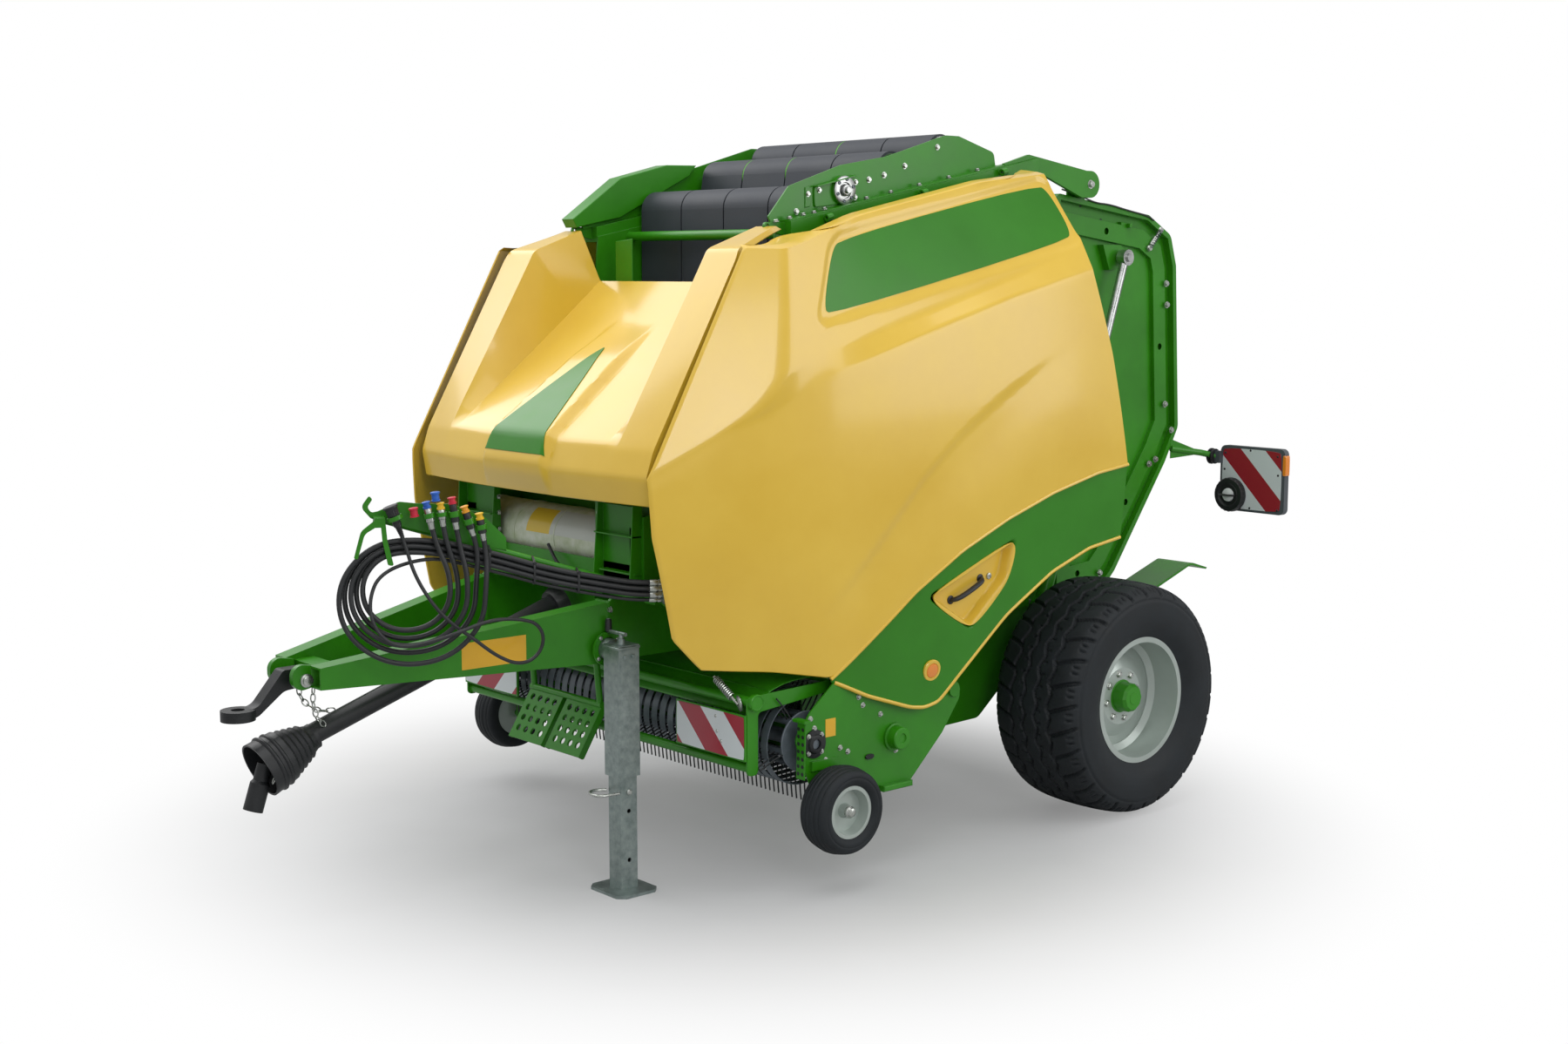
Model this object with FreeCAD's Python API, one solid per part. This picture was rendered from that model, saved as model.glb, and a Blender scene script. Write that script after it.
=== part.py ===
import FreeCAD, Part
import math
import os
from FreeCAD import Vector

# Variable-chamber round baler, parked on its jack. Millimetres.
# +X is the machine's left, -Y is forward and +Z is up. The origin lies on the
# ground under the middle of the overall box.

# Overall sizes
front_reach = 3830          # axle to the tip of the hitch eye
rear_reach = 1230           # axle to the lip of the bale ramp
axle_y = (front_reach - rear_reach) / 2
axle_z = 530                # tyre radius: the axle's height on hard ground
track_x = 1050              # middle of each main wheel
tyre_width = 500
tyre_radius = axle_z
rim_seat_radius = 272
gauge_centre = (1188, axle_y - 1782, 331)
gauge_radius = 180
gauge_width = 150

# Bale chamber: two flat walls with the belts between them
wall_inner_x = 612
wall_thickness = 10
flange_x = 655              # outer face of the folded edges
belt_half_width = 600
belt_count = 4
belt_thickness = 10
roof_slope = 0.206          # rise of the machine's top per unit of length
roof_y, roof_z = -400, 2645  # a point on the top rail

# Pivots, as (y, z)
tailgate_pivot = (1529, 2857)
pickup_pivot = (250, 700)
reel_centre = (-540, 590)
guard_pivot = (-330, 800)
jack_pivot = (-1130, 966)
rotor_centre = (10, 650)
ramp_pivot = (1420, 505)
hood_pivot = (-430, 2640)
side_hinge_x = 740
cylinder_foot = (1240, 900)
cylinder_eye = (1800, 2520)
cylinder_x = 700

# Pickup
tine_radius = 235
tine_size = 6
tine_pitch = 55
tine_bars = 5
band_radius = 180
band_width = 38
band_thickness = 3
pickup_half_width = 1000
pickup_wall_x = 1080

# Drive shaft, in the middle plane
shaft_front = (-2207, 672)
shaft_rear = (-992, 1085)
cone_rear = (-2187, 668)
cone_mouth = (-2384, 582)
yoke_centre = (-2366, 590)
yoke_tip = (-2419, 430)


def block(x, y, z):
    return Part.makeBox(x[1] - x[0], y[1] - y[0], z[1] - z[0], Vector(x[0], y[0], z[0]))


def rod(start, end, radius):
    start, end = Vector(*start), Vector(*end)
    return Part.makeCylinder(radius, (end - start).Length, start, end - start)


def pipe(start, end, radius, wall):
    return rod(start, end, radius).cut(rod(start, end, radius - wall))


def cross_rod(centre, radius, half_length):
    y, z = centre
    return rod((-half_length, y, z), (half_length, y, z), radius)


def outline(points, place):
    # A closed wire through (u, v) corners; a third value rounds that corner.
    count = len(points)
    flat = [Vector(point[0], point[1], 0) for point in points]
    corners = []
    for i, here in enumerate(flat):
        radius = points[i][2] if len(points[i]) > 2 else 0
        if radius == 0:
            corners.append((here, None, here))
            continue
        back = (flat[i - 1] - here).normalize()
        ahead = (flat[(i + 1) % count] - here).normalize()
        half_angle = back.getAngle(ahead) / 2
        reach = radius / math.tan(half_angle)
        middle = here + (back + ahead).normalize() * (radius / math.sin(half_angle) - radius)
        corners.append((here + back * reach, middle, here + ahead * reach))
    edges = []
    for i, (start, middle, end) in enumerate(corners):
        if middle is not None:
            edges.append(Part.Arc(place(start), place(middle), place(end)).toShape())
        following = corners[(i + 1) % count][0]
        if (following - end).Length > 1e-4:
            edges.append(Part.makeLine(place(end), place(following)))
    return Part.Wire(edges)


def plate(points, axis, low, high):
    # A flat outline in the plane across an axis, as thick as low to high.
    place = {
        "x": lambda p: Vector(low, p.x, p.y),
        "y": lambda p: Vector(p.x, low, p.y),
        "z": lambda p: Vector(p.x, p.y, low),
    }[axis]
    depth = {"x": Vector(1, 0, 0), "y": Vector(0, 1, 0), "z": Vector(0, 0, 1)}[axis]
    return Part.Face(outline(points, place)).extrude(depth * (high - low))


def turned(points, centre):
    # Revolved about the X line through centre; points are (x, radius).
    y, z = centre
    wire = outline(points, lambda p: Vector(p.x, y, z + p.y))
    return Part.Face(wire).revolve(Vector(0, y, z), Vector(1, 0, 0), 360)


def turned_along(points, start, end):
    # Revolved about the line from start to end; points are (distance, radius).
    start, end = Vector(*start), Vector(*end)
    wire = outline(points, lambda p: Vector(p.x, 0, p.y))
    solid = Part.Face(wire).revolve(Vector(0, 0, 0), Vector(1, 0, 0), 360)
    turn = FreeCAD.Rotation(Vector(1, 0, 0), end - start)
    solid.Placement = FreeCAD.Placement(start, turn)
    return solid


def rectangle(centre, width, height):
    # Four corners across Y; width runs along X and height along Z.
    x, y, z = centre
    return [Vector(x + u * width / 2, y, z + v * height / 2)
            for u, v in ((-1, -1), (1, -1), (1, 1), (-1, 1))]


def frustum(first, last):
    # A solid between two parallel four-cornered sections.
    quads = [first, last[::-1]]
    quads += [[first[i - 1], last[i - 1], last[i], first[i]] for i in range(4)]
    faces = [Part.Face(Part.makePolygon(quad + [quad[0]])) for quad in quads]
    solid = Part.Solid(Part.Shell(faces))
    return solid if solid.Volume > 0 else solid.reversed()


def box_beam(first, last, wall):
    # A hollow tapered beam between two (centre, width, height) sections.
    outer, inner = [
        frustum(*[rectangle(centre, width - 2 * inset, height - 2 * inset)
                  for centre, width, height in (first, last)])
        for inset in (0, wall)]
    return outer.cut(inner)


def mirrored(shape):
    return shape.mirror(Vector(0, 0, 0), Vector(1, 0, 0))


def both(shape):
    return [shape, mirrored(shape)]


def joined(shapes):
    return shapes[0].multiFuse(shapes[1:]).removeSplitter()


def along(points, y):
    # Height of a polyline of (y, z) points at y.
    for (y0, z0), (y1, z1) in zip(points, points[1:]):
        if y <= y1 or (y1, z1) == points[-1]:
            return z0 + (z1 - z0) * (y - y0) / (y1 - y0)


def shift_inward(grid, thickness):
    # The grid moved against its own normals, found from neighbouring points.
    rows, columns = len(grid), len(grid[0])
    moved = []
    for i in range(rows):
        line = []
        for j in range(columns):
            down = grid[min(i + 1, rows - 1)][j] - grid[max(i - 1, 0)][j]
            across = grid[i][min(j + 1, columns - 1)] - grid[i][max(j - 1, 0)]
            normal = down.cross(across).normalize()
            line.append(grid[i][j] - normal * thickness)
        moved.append(line)
    return moved


def skin(outer, thickness):
    # A closed solid between a grid of points and the same grid moved inward.
    inner = shift_inward(outer, thickness)
    rows, columns = len(outer), len(outer[0])
    faces = []

    def quad(a, b, c, d):
        faces.append(Part.Face(Part.makePolygon([a, b, c, a])))
        faces.append(Part.Face(Part.makePolygon([a, c, d, a])))

    for i in range(rows - 1):
        for j in range(columns - 1):
            quad(outer[i][j], outer[i][j + 1], outer[i + 1][j + 1], outer[i + 1][j])
            quad(inner[i][j], inner[i + 1][j], inner[i + 1][j + 1], inner[i][j + 1])
    for i in range(rows - 1):
        quad(outer[i][0], outer[i + 1][0], inner[i + 1][0], inner[i][0])
        quad(outer[i][-1], inner[i][-1], inner[i + 1][-1], outer[i + 1][-1])
    for j in range(columns - 1):
        quad(outer[0][j], inner[0][j], inner[0][j + 1], outer[0][j + 1])
        quad(outer[-1][j], outer[-1][j + 1], inner[-1][j + 1], inner[-1][j])
    solid = Part.Solid(Part.Shell(faces))
    return solid if solid.Volume > 0 else solid.reversed()


# ---- Main wheels and axle ----

spindle_radius = 40
spindle_end = 1165


def main_tyre():
    half = tyre_width / 2
    bead = rim_seat_radius - 0.2
    outer = [(-195, bead), (-205, 300, 15), (-half, 400, 60), (-half + 20, 500, 40),
             (-half + 70, tyre_radius, 20), (half - 70, tyre_radius, 20),
             (half - 20, 500, 40), (half, 400, 60), (205, 300, 15), (195, bead)]
    inner = [(165, bead), (180, 320, 15), (half - 28, 400, 50), (half - 45, 480, 30),
             (-half + 45, 480, 30), (-half + 28, 400, 50), (-180, 320, 15), (-165, bead)]
    section = [(x + track_x, *rest) for x, *rest in outer + inner]
    return turned(section, (axle_y, axle_z))


def main_rim():
    wall = 8
    seat = rim_seat_radius
    half = 206
    barrel = [(-half, seat + 16), (-half + wall, seat + 16), (-half + wall + 4, seat),
              (-90, seat - 4), (-70, seat - 32), (50, seat - 32), (70, seat - 4),
              (half - wall - 4, seat), (half - wall, seat + 16), (half, seat + 16),
              (half, seat - wall), (78, seat - wall - 6), (58, seat - 32 - wall),
              (-78, seat - 32 - wall), (-98, seat - wall - 6), (-half, seat - wall)]
    disc = [(40, seat - 38), (52, seat - 38), (62, 190), (92, 130), (92, 60),
            (80, 60), (80, 126), (50, 186)]
    hub = [(0, 70), (78, 70), (80, 62), (130, 58), (160, 50, 8), (160, 0),
           (spindle_end - track_x + 8, 0), (spindle_end - track_x + 8, spindle_radius + 0.05),
           (0, spindle_radius + 0.05)]
    parts = [turned([(x + track_x, *rest) for x, *rest in ring], (axle_y, axle_z))
             for ring in (barrel, disc, hub)]
    return joined(parts)


def axle_beam():
    beam = block((-700, 700), (axle_y - 60, axle_y + 60), (axle_z - 60, axle_z + 60))
    hollow = block((-690, 690), (axle_y - 50, axle_y + 50), (axle_z - 50, axle_z + 50))
    spindles = [rod((sign * 690, axle_y, axle_z), (sign * spindle_end, axle_y, axle_z), spindle_radius)
                for sign in (-1, 1)]
    collars = [rod((sign * 700, axle_y, axle_z), (sign * 1035, axle_y, axle_z), 58)
               for sign in (-1, 1)]
    bracket = plate([(axle_y - 160, 760), (axle_y, 760), (axle_y + 70, axle_z - 75, 20),
                     (axle_y - 75, axle_z - 75, 20)], "x", 622, 640)
    ear_y, ear_z = ramp_pivot
    ear = plate([(axle_y + 60, ear_z - 30), (ear_y + 40, ear_z - 30, 30), (ear_y + 40, ear_z + 35, 30),
                 (axle_y + 60, ear_z + 35)], "x", 430, 446)
    ear = ear.cut(rod((400, ear_y, ear_z), (480, ear_y, ear_z), 28.05))
    return joined([beam.cut(hollow)] + spindles + collars + both(bracket) + both(ear))


# ---- Gauge wheels of the pickup ----

def gauge_tyre():
    x0, y, z = gauge_centre
    half = gauge_width / 2
    section = [(-50, 100), (-half, 120, 20), (-half, gauge_radius - 12, 30), (0, gauge_radius + 1, 60),
               (half, gauge_radius - 12, 30), (half, 120, 20), (50, 100)]
    return turned([(x + x0, *rest) for x, *rest in section], (y, z))


def gauge_rim():
    x0, y, z = gauge_centre
    section = [(-48, 100.2), (48, 100.2), (52, 108), (58, 108), (58, 92), (12, 84), (12, 30),
               (40, 26), (40, 15.05), (-58, 15.05), (-58, 92), (-58, 108), (-52, 108)]
    return turned([(x + x0, *rest) for x, *rest in section], (y, z))


# ---- Chassis ----

def roof(y):
    return roof_z + roof_slope * (y - roof_y)


wall_front = -340
wall_outline = [(wall_front, roof(wall_front) - 45), (1150, roof(1150) - 45, 40), (1330, 2560, 60),
                (1330, 640, 30), (1200, 640, 60), (900, 400, 60), (120, 380, 40), (-180, 470, 40),
                (-215, 860, 20), (-640, 900, 30), (-640, 1120, 60), (-420, 1700, 60)]

# The covers turn on pins of their own in lugs on the top rails
cover_pin = 8
lug_radius = 16
lug_length = 30
pin_play = 0.05
front_lug = (664, 678)
side_lugs = (-150, 400, 900)


def side_hinge_point(y):
    return (side_hinge_x, y, hood_pivot[1] + roof_slope * (y + 330))


def side_hinge_rod(y, radius, length):
    # A rod on the side cover's hinge line, with its middle at y.
    half = length / 2 / math.hypot(1, roof_slope)
    return rod(side_hinge_point(y - half), side_hinge_point(y + half), radius)


def cover_lugs():
    y, z = hood_pivot
    front = plate([(y - lug_radius, z - lug_radius, 15), (y - lug_radius, z + lug_radius - 1, 15),
                   (wall_front + 3, z + lug_radius - 1), (wall_front + 3, z - 40)], "x", *front_lug)
    parts = [front.cut(rod((600, y, z), (700, y, z), cover_pin + pin_play))]
    for y in side_lugs:
        x, y, z = side_hinge_point(y)
        stub = rod((716, y, z), (x - 6, y, z), lug_radius - 3)
        ring = side_hinge_rod(y, lug_radius, lug_length)
        parts.append(stub.fuse(ring).cut(side_hinge_rod(y, cover_pin + pin_play, 2 * lug_length)))
    return parts


def chamber_wall():
    base = plate(wall_outline, "x", wall_inner_x, wall_inner_x + wall_thickness)
    face = wall_inner_x + wall_thickness
    wall, front, rear = 6, wall_front, 1150
    rail = plate([(front, roof(front) - 70), (rear, roof(rear) - 70), (rear, roof(rear)),
                  (front, roof(front))], "x", face, 720)
    front, rear = front + wall, rear - wall
    rail_hollow = plate([(front, roof(front) - 70 + wall), (rear, roof(rear) - 70 + wall),
                         (rear, roof(rear) - wall), (front, roof(front) - wall)],
                        "x", face + wall, 720 - wall)
    ribs = [plate([(y, 985), (y + 50, 985), (y + 50, roof(y) - 70), (y, roof(y) - 80)], "x",
                  face, flange_x) for y in (-300, 350, 1050)]
    return joined([base, rail.cut(rail_hollow)] + ribs + cover_lugs())


def lower_frame():
    side = block((622, 702), (-640, 1150), (905, 985))
    side_hollow = block((630, 694), (-700, 1200), (913, 977))
    front_beam = block((-702, 702), (-720, -640), (930, 1080))
    front_hollow = block((-720, 720), (-710, -650), (940, 1070))
    rear_beam = block((-612, 612), (1230, 1320), (640, 720))
    floor = plate([(-190, 385), (-180, 372), (120, 372), (260, 420), (240, 436), (110, 385)], "x",
                  -wall_inner_x, wall_inner_x)
    bracket = plate([(-1100, 905, 20), (-1100, 1150, 60), (-1000, 1190, 60), (-720, 1080),
                     (-720, 905)], "x", 456, 472)
    y, z = pickup_pivot
    pivot = rod((622, y, z), (pickup_wall_x + 20, y, z), 30)
    return joined([front_beam.cut(front_hollow), rear_beam, floor] + both(side.cut(side_hollow))
                  + both(bracket) + both(pivot))


def drawbar():
    front, rear = (140, -2215, 937), (452, -1104, 1026)
    beam = box_beam((front, 80, 84), (rear, 84, 246), 8)
    end_plate = block((405, 500), (-1110, -1100), (900, 1153))
    _, y, z = front
    ear = plate([(y - 75, z - 57, 42), (y - 75, z + 57, 42), (y + 25, z + 38), (y + 25, z - 38)],
                "x", 78, 104)
    tie = block((-125, 125), (-2170, -2080), (925, 965))
    pin = cross_rod((-2235, 925), 20, 110)
    return joined(both(beam) + both(end_plate) + both(ear) + [tie, pin])


def hitch_eye():
    # A dropped arm with a flat ring at its end, swept down from the drawbar pin.
    arm = plate([(-2290, 960, 20), (-2180, 960, 20), (-2180, 890, 20), (-2290, 880, 60),
                 (-2400, 795, 60), (-2445, 790), (-2445, 828), (-2400, 830, 60)], "x", -32, 32)
    ring_y = -front_reach + axle_y + 65
    ring = rod((0, ring_y, 788), (0, ring_y, 828), 65)
    bore = rod((0, ring_y, 780), (0, ring_y, 840), 25.5)
    pin_bore = cross_rod((-2235, 925), 20.0, 60)
    return joined([arm, ring]).cut(bore).cut(pin_bore)


# ---- Jack ----

jack_x = 605


def jack_case():
    y, z = jack_pivot
    case = block((jack_x - 50, jack_x + 50), (y - 50, y + 50), (470, 1000))
    bore = block((jack_x - 41, jack_x + 41), (y - 41, y + 41), (460, 992))
    swivel = rod((501, y, z), (jack_x - 49, y, z), 45)
    shaft = rod((jack_x, y, 998), (jack_x, y, 1040), 10)
    crank = rod((jack_x - 90, y, 1040), (jack_x + 30, y, 1040), 8)
    grip = rod((jack_x - 84, y, 1040), (jack_x - 84, y, 1090), 8)
    return joined([case.cut(bore), swivel, shaft, crank, grip])


def jack_leg():
    y = jack_pivot[0]
    leg = block((jack_x - 40, jack_x + 40), (y - 40, y + 40), (10, 640))
    hollow = block((jack_x - 34, jack_x + 34), (y - 34, y + 34), (16, 634))
    holes = [rod((jack_x - 60, y, z), (jack_x + 60, y, z), 9) for z in (130, 330)]
    foot = plate([(jack_x - 115, y - 70), (jack_x - 85, y - 100), (jack_x + 85, y - 100),
                  (jack_x + 115, y - 70), (jack_x + 115, y + 70), (jack_x + 85, y + 100),
                  (jack_x - 85, y + 100), (jack_x - 115, y + 70)], "z", 0, 12)
    leg = leg.cut(hollow)
    for hole in holes:
        leg = leg.cut(hole)
    return joined([leg, foot])


# ---- Drive line ----

def gearbox():
    case = block((-150, 150), (-930, -730), (960, 1200))
    foot = block((-190, 190), (-790, -720), (940, 1060))
    return joined([case, foot])


def shaft_point(distance):
    # A point on the drive shaft's line, counted from its front end.
    (y0, z0), (y1, z1) = shaft_front, shaft_rear
    length = math.hypot(y1 - y0, z1 - z0)
    return (0, y0 + (y1 - y0) * distance / length, z0 + (z1 - z0) * distance / length)


shaft_length = math.hypot(shaft_rear[0] - shaft_front[0], shaft_rear[1] - shaft_front[1])


def bellows(start, count, pitch, low, high):
    # Ribs of a flexible guard as (distance, radius) points.
    points = []
    for i in range(count):
        points += [(start + i * pitch, low[i]), (start + (i + 0.5) * pitch, high[i])]
    return points


def shaft_guard():
    # A plain tube with a short cone at the gearbox and a drooping ribbed cone in front.
    rear = shaft_length
    tube = turned_along([(45, 0), (45, 42), (rear - 60, 42), (rear - 60, 60), (rear - 10, 78),
                         (rear - 10, 66), (rear - 50, 34), (rear - 50, 0)], shaft_point(0), shaft_point(rear))
    count = 5
    low = [60 + 8 * i for i in range(count)]
    high = [r + 12 for r in low]
    mouth = math.hypot(cone_mouth[0] - cone_rear[0], cone_mouth[1] - cone_rear[1])
    outer = [(-35, 0), (-35, 46)] + bellows(0, count, 24, low, high) + [(130, 106), (mouth, 112)]
    inner = [(mouth, 104), (130, 96), (40, 50), (15, 50), (15, 20.05), (-8, 20.05), (-8, 0)]
    cone = turned_along(outer + inner, (0, *cone_rear), (0, *cone_mouth))
    return joined([tube, cone])


def drive_yoke():
    (y0, z0), (y1, z1) = cone_rear, yoke_centre
    stub = rod((0, y0, z0), (0, y1, z1), 20)
    bore = 17.45
    yoke = turned_along([(-15, 0), (-15, 30), (50, 30), (62, 38), (168, 38), (168, bore), (62, bore),
                         (62, 0)], (0, *yoke_centre), (0, *yoke_tip))
    return joined([stub, yoke])


# ---- Belt tower ----

tower_x = 652               # inner face of the two tower plates
bearing_centre = (-8, 2792)


def tower_plate():
    front, rear = wall_front, 930
    points = [(-395, roof(-395)), (-410, 2678, 8), (-299, 2803, 30), (-9, 2897, 60), (258, 2942, 60),
              (611, 3045, 40), (693, 3045, 40), (918, 2982, 30), (rear, roof(rear))]
    base = plate(points, "x", tower_x, tower_x + 8)
    disc = rod((tower_x + 8, *bearing_centre), (tower_x + 24, *bearing_centre), 62)
    foot = plate([(front, roof(front)), (rear, roof(rear)), (rear, roof(rear) + 8), (front, roof(front) + 8)],
                 "x", tower_x + 8, 716)
    return joined([base, disc, foot])


def hinge_arms():
    y, z = tailgate_pivot
    arm = plate([(940, roof(940)), (940, roof(940) + 12), (1100, roof(1100) + 24), (y - 30, z + 62, 50),
                 (y + 62, z + 62, 61), (y + 62, z - 62, 61), (y - 60, z - 62, 40), (1160, roof(1150) - 60),
                 (1150, roof(1150))], "x", 690, 708)
    pin = rod((wall_inner_x, y, z), (700, y, z), 25)
    spacer = rod((flange_x + 6, y, z), (690, y, z), 50)
    return both(joined([arm, pin, spacer]))


# Rollers as (y, z, radius) in the order in which a belt meets them. A roller with
# a negative radius lies on the belt's other face.
front_rollers = [(-10, 1000, 90), (-14, 2730, 80), (165, 2690, -60), (343, 2885, 75), (495, 2770, -60),
                 (646, 2970, 75), (700, 2640, 70)]
gate_rollers = [(1440, 990, 70), (1790, 1110, 80), (2190, 1720, 80), (2105, 2560, 80), (1420, 2560, 60)]
belt_clearance = 0.3
# How far the stubs of the tower's rollers reach: to its rails or to its plates
tower_reach = {1: wall_inner_x + wall_thickness, 3: tower_x, 5: tower_x}


def belt_roller(y, z, radius, reach):
    # A steel drum with closed ends and a stub that reaches the wall on each side.
    half, wall, stub = belt_half_width, 6, 25
    return turned([(-reach, 0), (-reach, stub), (-half, stub), (-half, radius), (half, radius),
                   (half, stub), (reach, stub), (reach, 0), (half - wall, 0),
                   (half - wall, radius - wall), (-half + wall, radius - wall), (-half + wall, 0)], (y, z))


def belt_rollers():
    return [belt_roller(y, z, abs(radius), tower_reach.get(i, wall_inner_x))
            for i, (y, z, radius) in enumerate(front_rollers)]


def wrapped(stops, depth):
    # The belt's path round the stops, depth away from the face that touches the
    # positive ones. The ends are open.
    def offset(radius):
        if radius > 0:
            return radius + belt_clearance + depth
        return radius - belt_clearance - belt_thickness + depth

    edges, last = [], None
    for (y0, z0, r0), (y1, z1, r1) in zip(stops, stops[1:]):
        r0, r1 = offset(r0), offset(r1)
        length = math.hypot(y1 - y0, z1 - z0)
        angle = math.atan2(z1 - z0, y1 - y0) + math.pi / 2 - math.asin((r0 - r1) / length)
        start = Vector(0, y0 + r0 * math.cos(angle), z0 + r0 * math.sin(angle))
        end = Vector(0, y1 + r1 * math.cos(angle), z1 + r1 * math.sin(angle))
        if last is not None:
            point, before = last
            swept = (before - angle) % (2 * math.pi)
            if r0 < 0:
                swept -= 2 * math.pi
            middle = before - swept / 2
            halfway = Vector(0, y0 + r0 * math.cos(middle), z0 + r0 * math.sin(middle))
            edges.append(Part.Arc(point, halfway, start).toShape())
        edges.append(Part.makeLine(start, end))
        last = (end, angle)
    return edges


def belts(stops):
    # Flat belts side by side, open where they start and end.
    near, far = wrapped(stops, 0), wrapped(stops, belt_thickness)
    first_end = Part.makeLine(near[0].Vertexes[0].Point, far[0].Vertexes[0].Point)
    last_end = Part.makeLine(near[-1].Vertexes[-1].Point, far[-1].Vertexes[-1].Point)
    face = Part.Face(Part.Wire(near + [last_end] + far[::-1] + [first_end]))
    strip = 2 * belt_half_width / belt_count
    gap = 4
    solids = []
    for i in range(belt_count):
        solid = face.extrude(Vector(strip - 2 * gap, 0, 0))
        solid.translate(Vector(-belt_half_width + strip * i + gap, 0, 0))
        solids.append(solid)
    return solids


def front_belts():
    return belts(front_rollers)


def tower_crossbar():
    bar = cross_rod((-160, 2614), 22, wall_inner_x)
    back = pipe((-wall_inner_x, 950, 2830), (wall_inner_x, 950, 2830), 30, 5)
    return [bar, back]


# ---- Net wrapping ----

def net_box():
    trough = plate([(-1050, 1450), (-1050, 1200), (-760, 1200), (-760, 1540), (-768, 1540), (-768, 1208),
                    (-1042, 1208), (-1042, 1450)], "x", -640, 640)
    window = block((-560, 560), (-1060, -1030), (1300, 1460))
    ends = both(plate([(-1050, 1200), (-760, 1200), (-760, 1540), (-1050, 1500)], "x", 640, 652))
    posts = [block((x, x + 40), (-1058, -1042), (1150, 1540)) for x in (-420, 340)]
    legs = both(block((500, 560), (-800, -720), (1070, 1200)))
    return joined([trough.cut(window)] + ends + posts + legs)


def net_roll():
    return cross_rod((-905, 1345), 125, 625)


# ---- Covers ----

cover_thickness = 14


def front_hood():
    t = cover_thickness
    lip, crease, kink, top = (-1142, 1554), (-1160, 1670), (-690, 2545), hood_pivot
    ramp_top = (-375, 2400)
    inner_x, outer_x, top_x = 592, 825, 740
    column = plate([lip, crease, kink, top, (top[0] + 4, top[1] - t), (kink[0] + t, kink[1] - t),
                    (crease[0] + t, crease[1]), (lip[0] + t, lip[1])], "x", inner_x, outer_x)
    ramp = plate([lip, crease, (-1135, 1715), ramp_top, (ramp_top[0], ramp_top[1] - t),
                  (-1135 + t, 1715), (crease[0] + t, crease[1]), (lip[0] + t, lip[1])],
                 "x", -inner_x, inner_x)
    cheek = plate([(-1140, 1700), kink, top, (ramp_top[0], ramp_top[1] + 20), (ramp_top[0], ramp_top[1] - t),
                   (-1135 + t, 1700)], "x", inner_x, inner_x + t)
    flange = plate([lip, crease, kink, (kink[0] + 20, kink[1] - 45), (crease[0] + 45, crease[1]),
                    (lip[0] + 40, lip[1])], "x", outer_x - t, outer_x)
    corner = plate([(outer_x, kink[0] - 60), (top_x, top[0]), (top_x, top[0] + 60),
                    (outer_x + 60, top[0] + 60), (outer_x + 60, kink[0] - 60)], "z", 2400, 2700)
    shell = joined([ramp] + both(column) + both(cheek) + both(flange))
    gap = block((front_lug[0] - 3, front_lug[1] + 3), (top[0] - 24, top[0] + 30), (top[1] - 50, top[1] + 30))
    for piece in both(corner) + both(gap):
        shell = shell.cut(piece)
    pin = rod((front_lug[0] - 18, *hood_pivot), (front_lug[1] + 18, *hood_pivot), cover_pin)
    return joined([shell] + both(pin))


hood_front_x = 868
hood_columns = (0, 0.05, 0.16, 0.28, 0.425, 0.5, 0.56, 0.68, 0.81, 1)
hood_nose = 520             # length over which the plan view curves outward
# Each level runs from front to rear: full x, then its (y, z) line.
hood_levels = (
    (740, [(-330, 2640), (985, 2905)]),
    (893, [(-695, 2562), (-550, 2562), (-140, 2690), (1000, 2880)]),
    (1020, [(-1000, 2020), (-900, 1978), (-480, 2110), (1078, 2590)]),
    (1125, [(-1180, 1680), (-771, 1935), (-465, 2048), (1080, 2454)]),
    (1168, [(-1172, 1450), (1226, 1620)]),
    (1158, [(-1092, 1050), (-930, 1009), (-300, 855), (100, 780), (330, 960), (777, 1260), (1218, 1400)]),
    (1140, [(-985, 925), (-400, 832), (-60, 675), (100, 672), (237, 789), (777, 1161), (1195, 1278)]),
)


def side_hood():
    grid = []
    for full_x, line in hood_levels:
        first, last = line[0][0], line[-1][0]
        row = []
        for share in hood_columns:
            y = first + (last - first) * share
            turn = math.sin(math.pi / 2 * min(1, (y - first) / hood_nose))
            front_x = min(full_x, hood_front_x)
            row.append(Vector(front_x + (full_x - front_x) * turn, y, along(line, y)))
        grid.append(row)
    shell = skin(grid, cover_thickness)
    for y in side_lugs:
        shell = shell.cut(side_hinge_rod(y, lug_radius + 5, lug_length + 10))
    return joined([shell] + [side_hinge_rod(y, cover_pin, lug_length + 30) for y in side_lugs])


# ---- Tailgate ----

gate_outline = [(1358, 2815, 20), (2029, 2725, 40), (2201, 2630, 60), (2248, 2482, 60), (2294, 1682, 60),
                (2197, 1513, 60), (1823, 1002, 60), (1720, 905, 60), (1338, 870, 20), (1338, 2600, 30)]


def inset(points, distance):
    # The same corners moved towards the inside by an offset of the wire.
    wire = outline([(p[0], p[1]) for p in points], lambda p: Vector(0, p.x, p.y))
    return wire.makeOffset2D(-distance)


def gate_band(outer, inner, low, high):
    # What lies between two insets of the tailgate's outline, from x low to high.
    band = Part.Face(inset(gate_outline, outer)).cut(Part.Face(inset(gate_outline, inner)))
    solid = band.extrude(Vector(high - low, 0, 0))
    solid.translate(Vector(low, 0, 0))
    return solid


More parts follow.
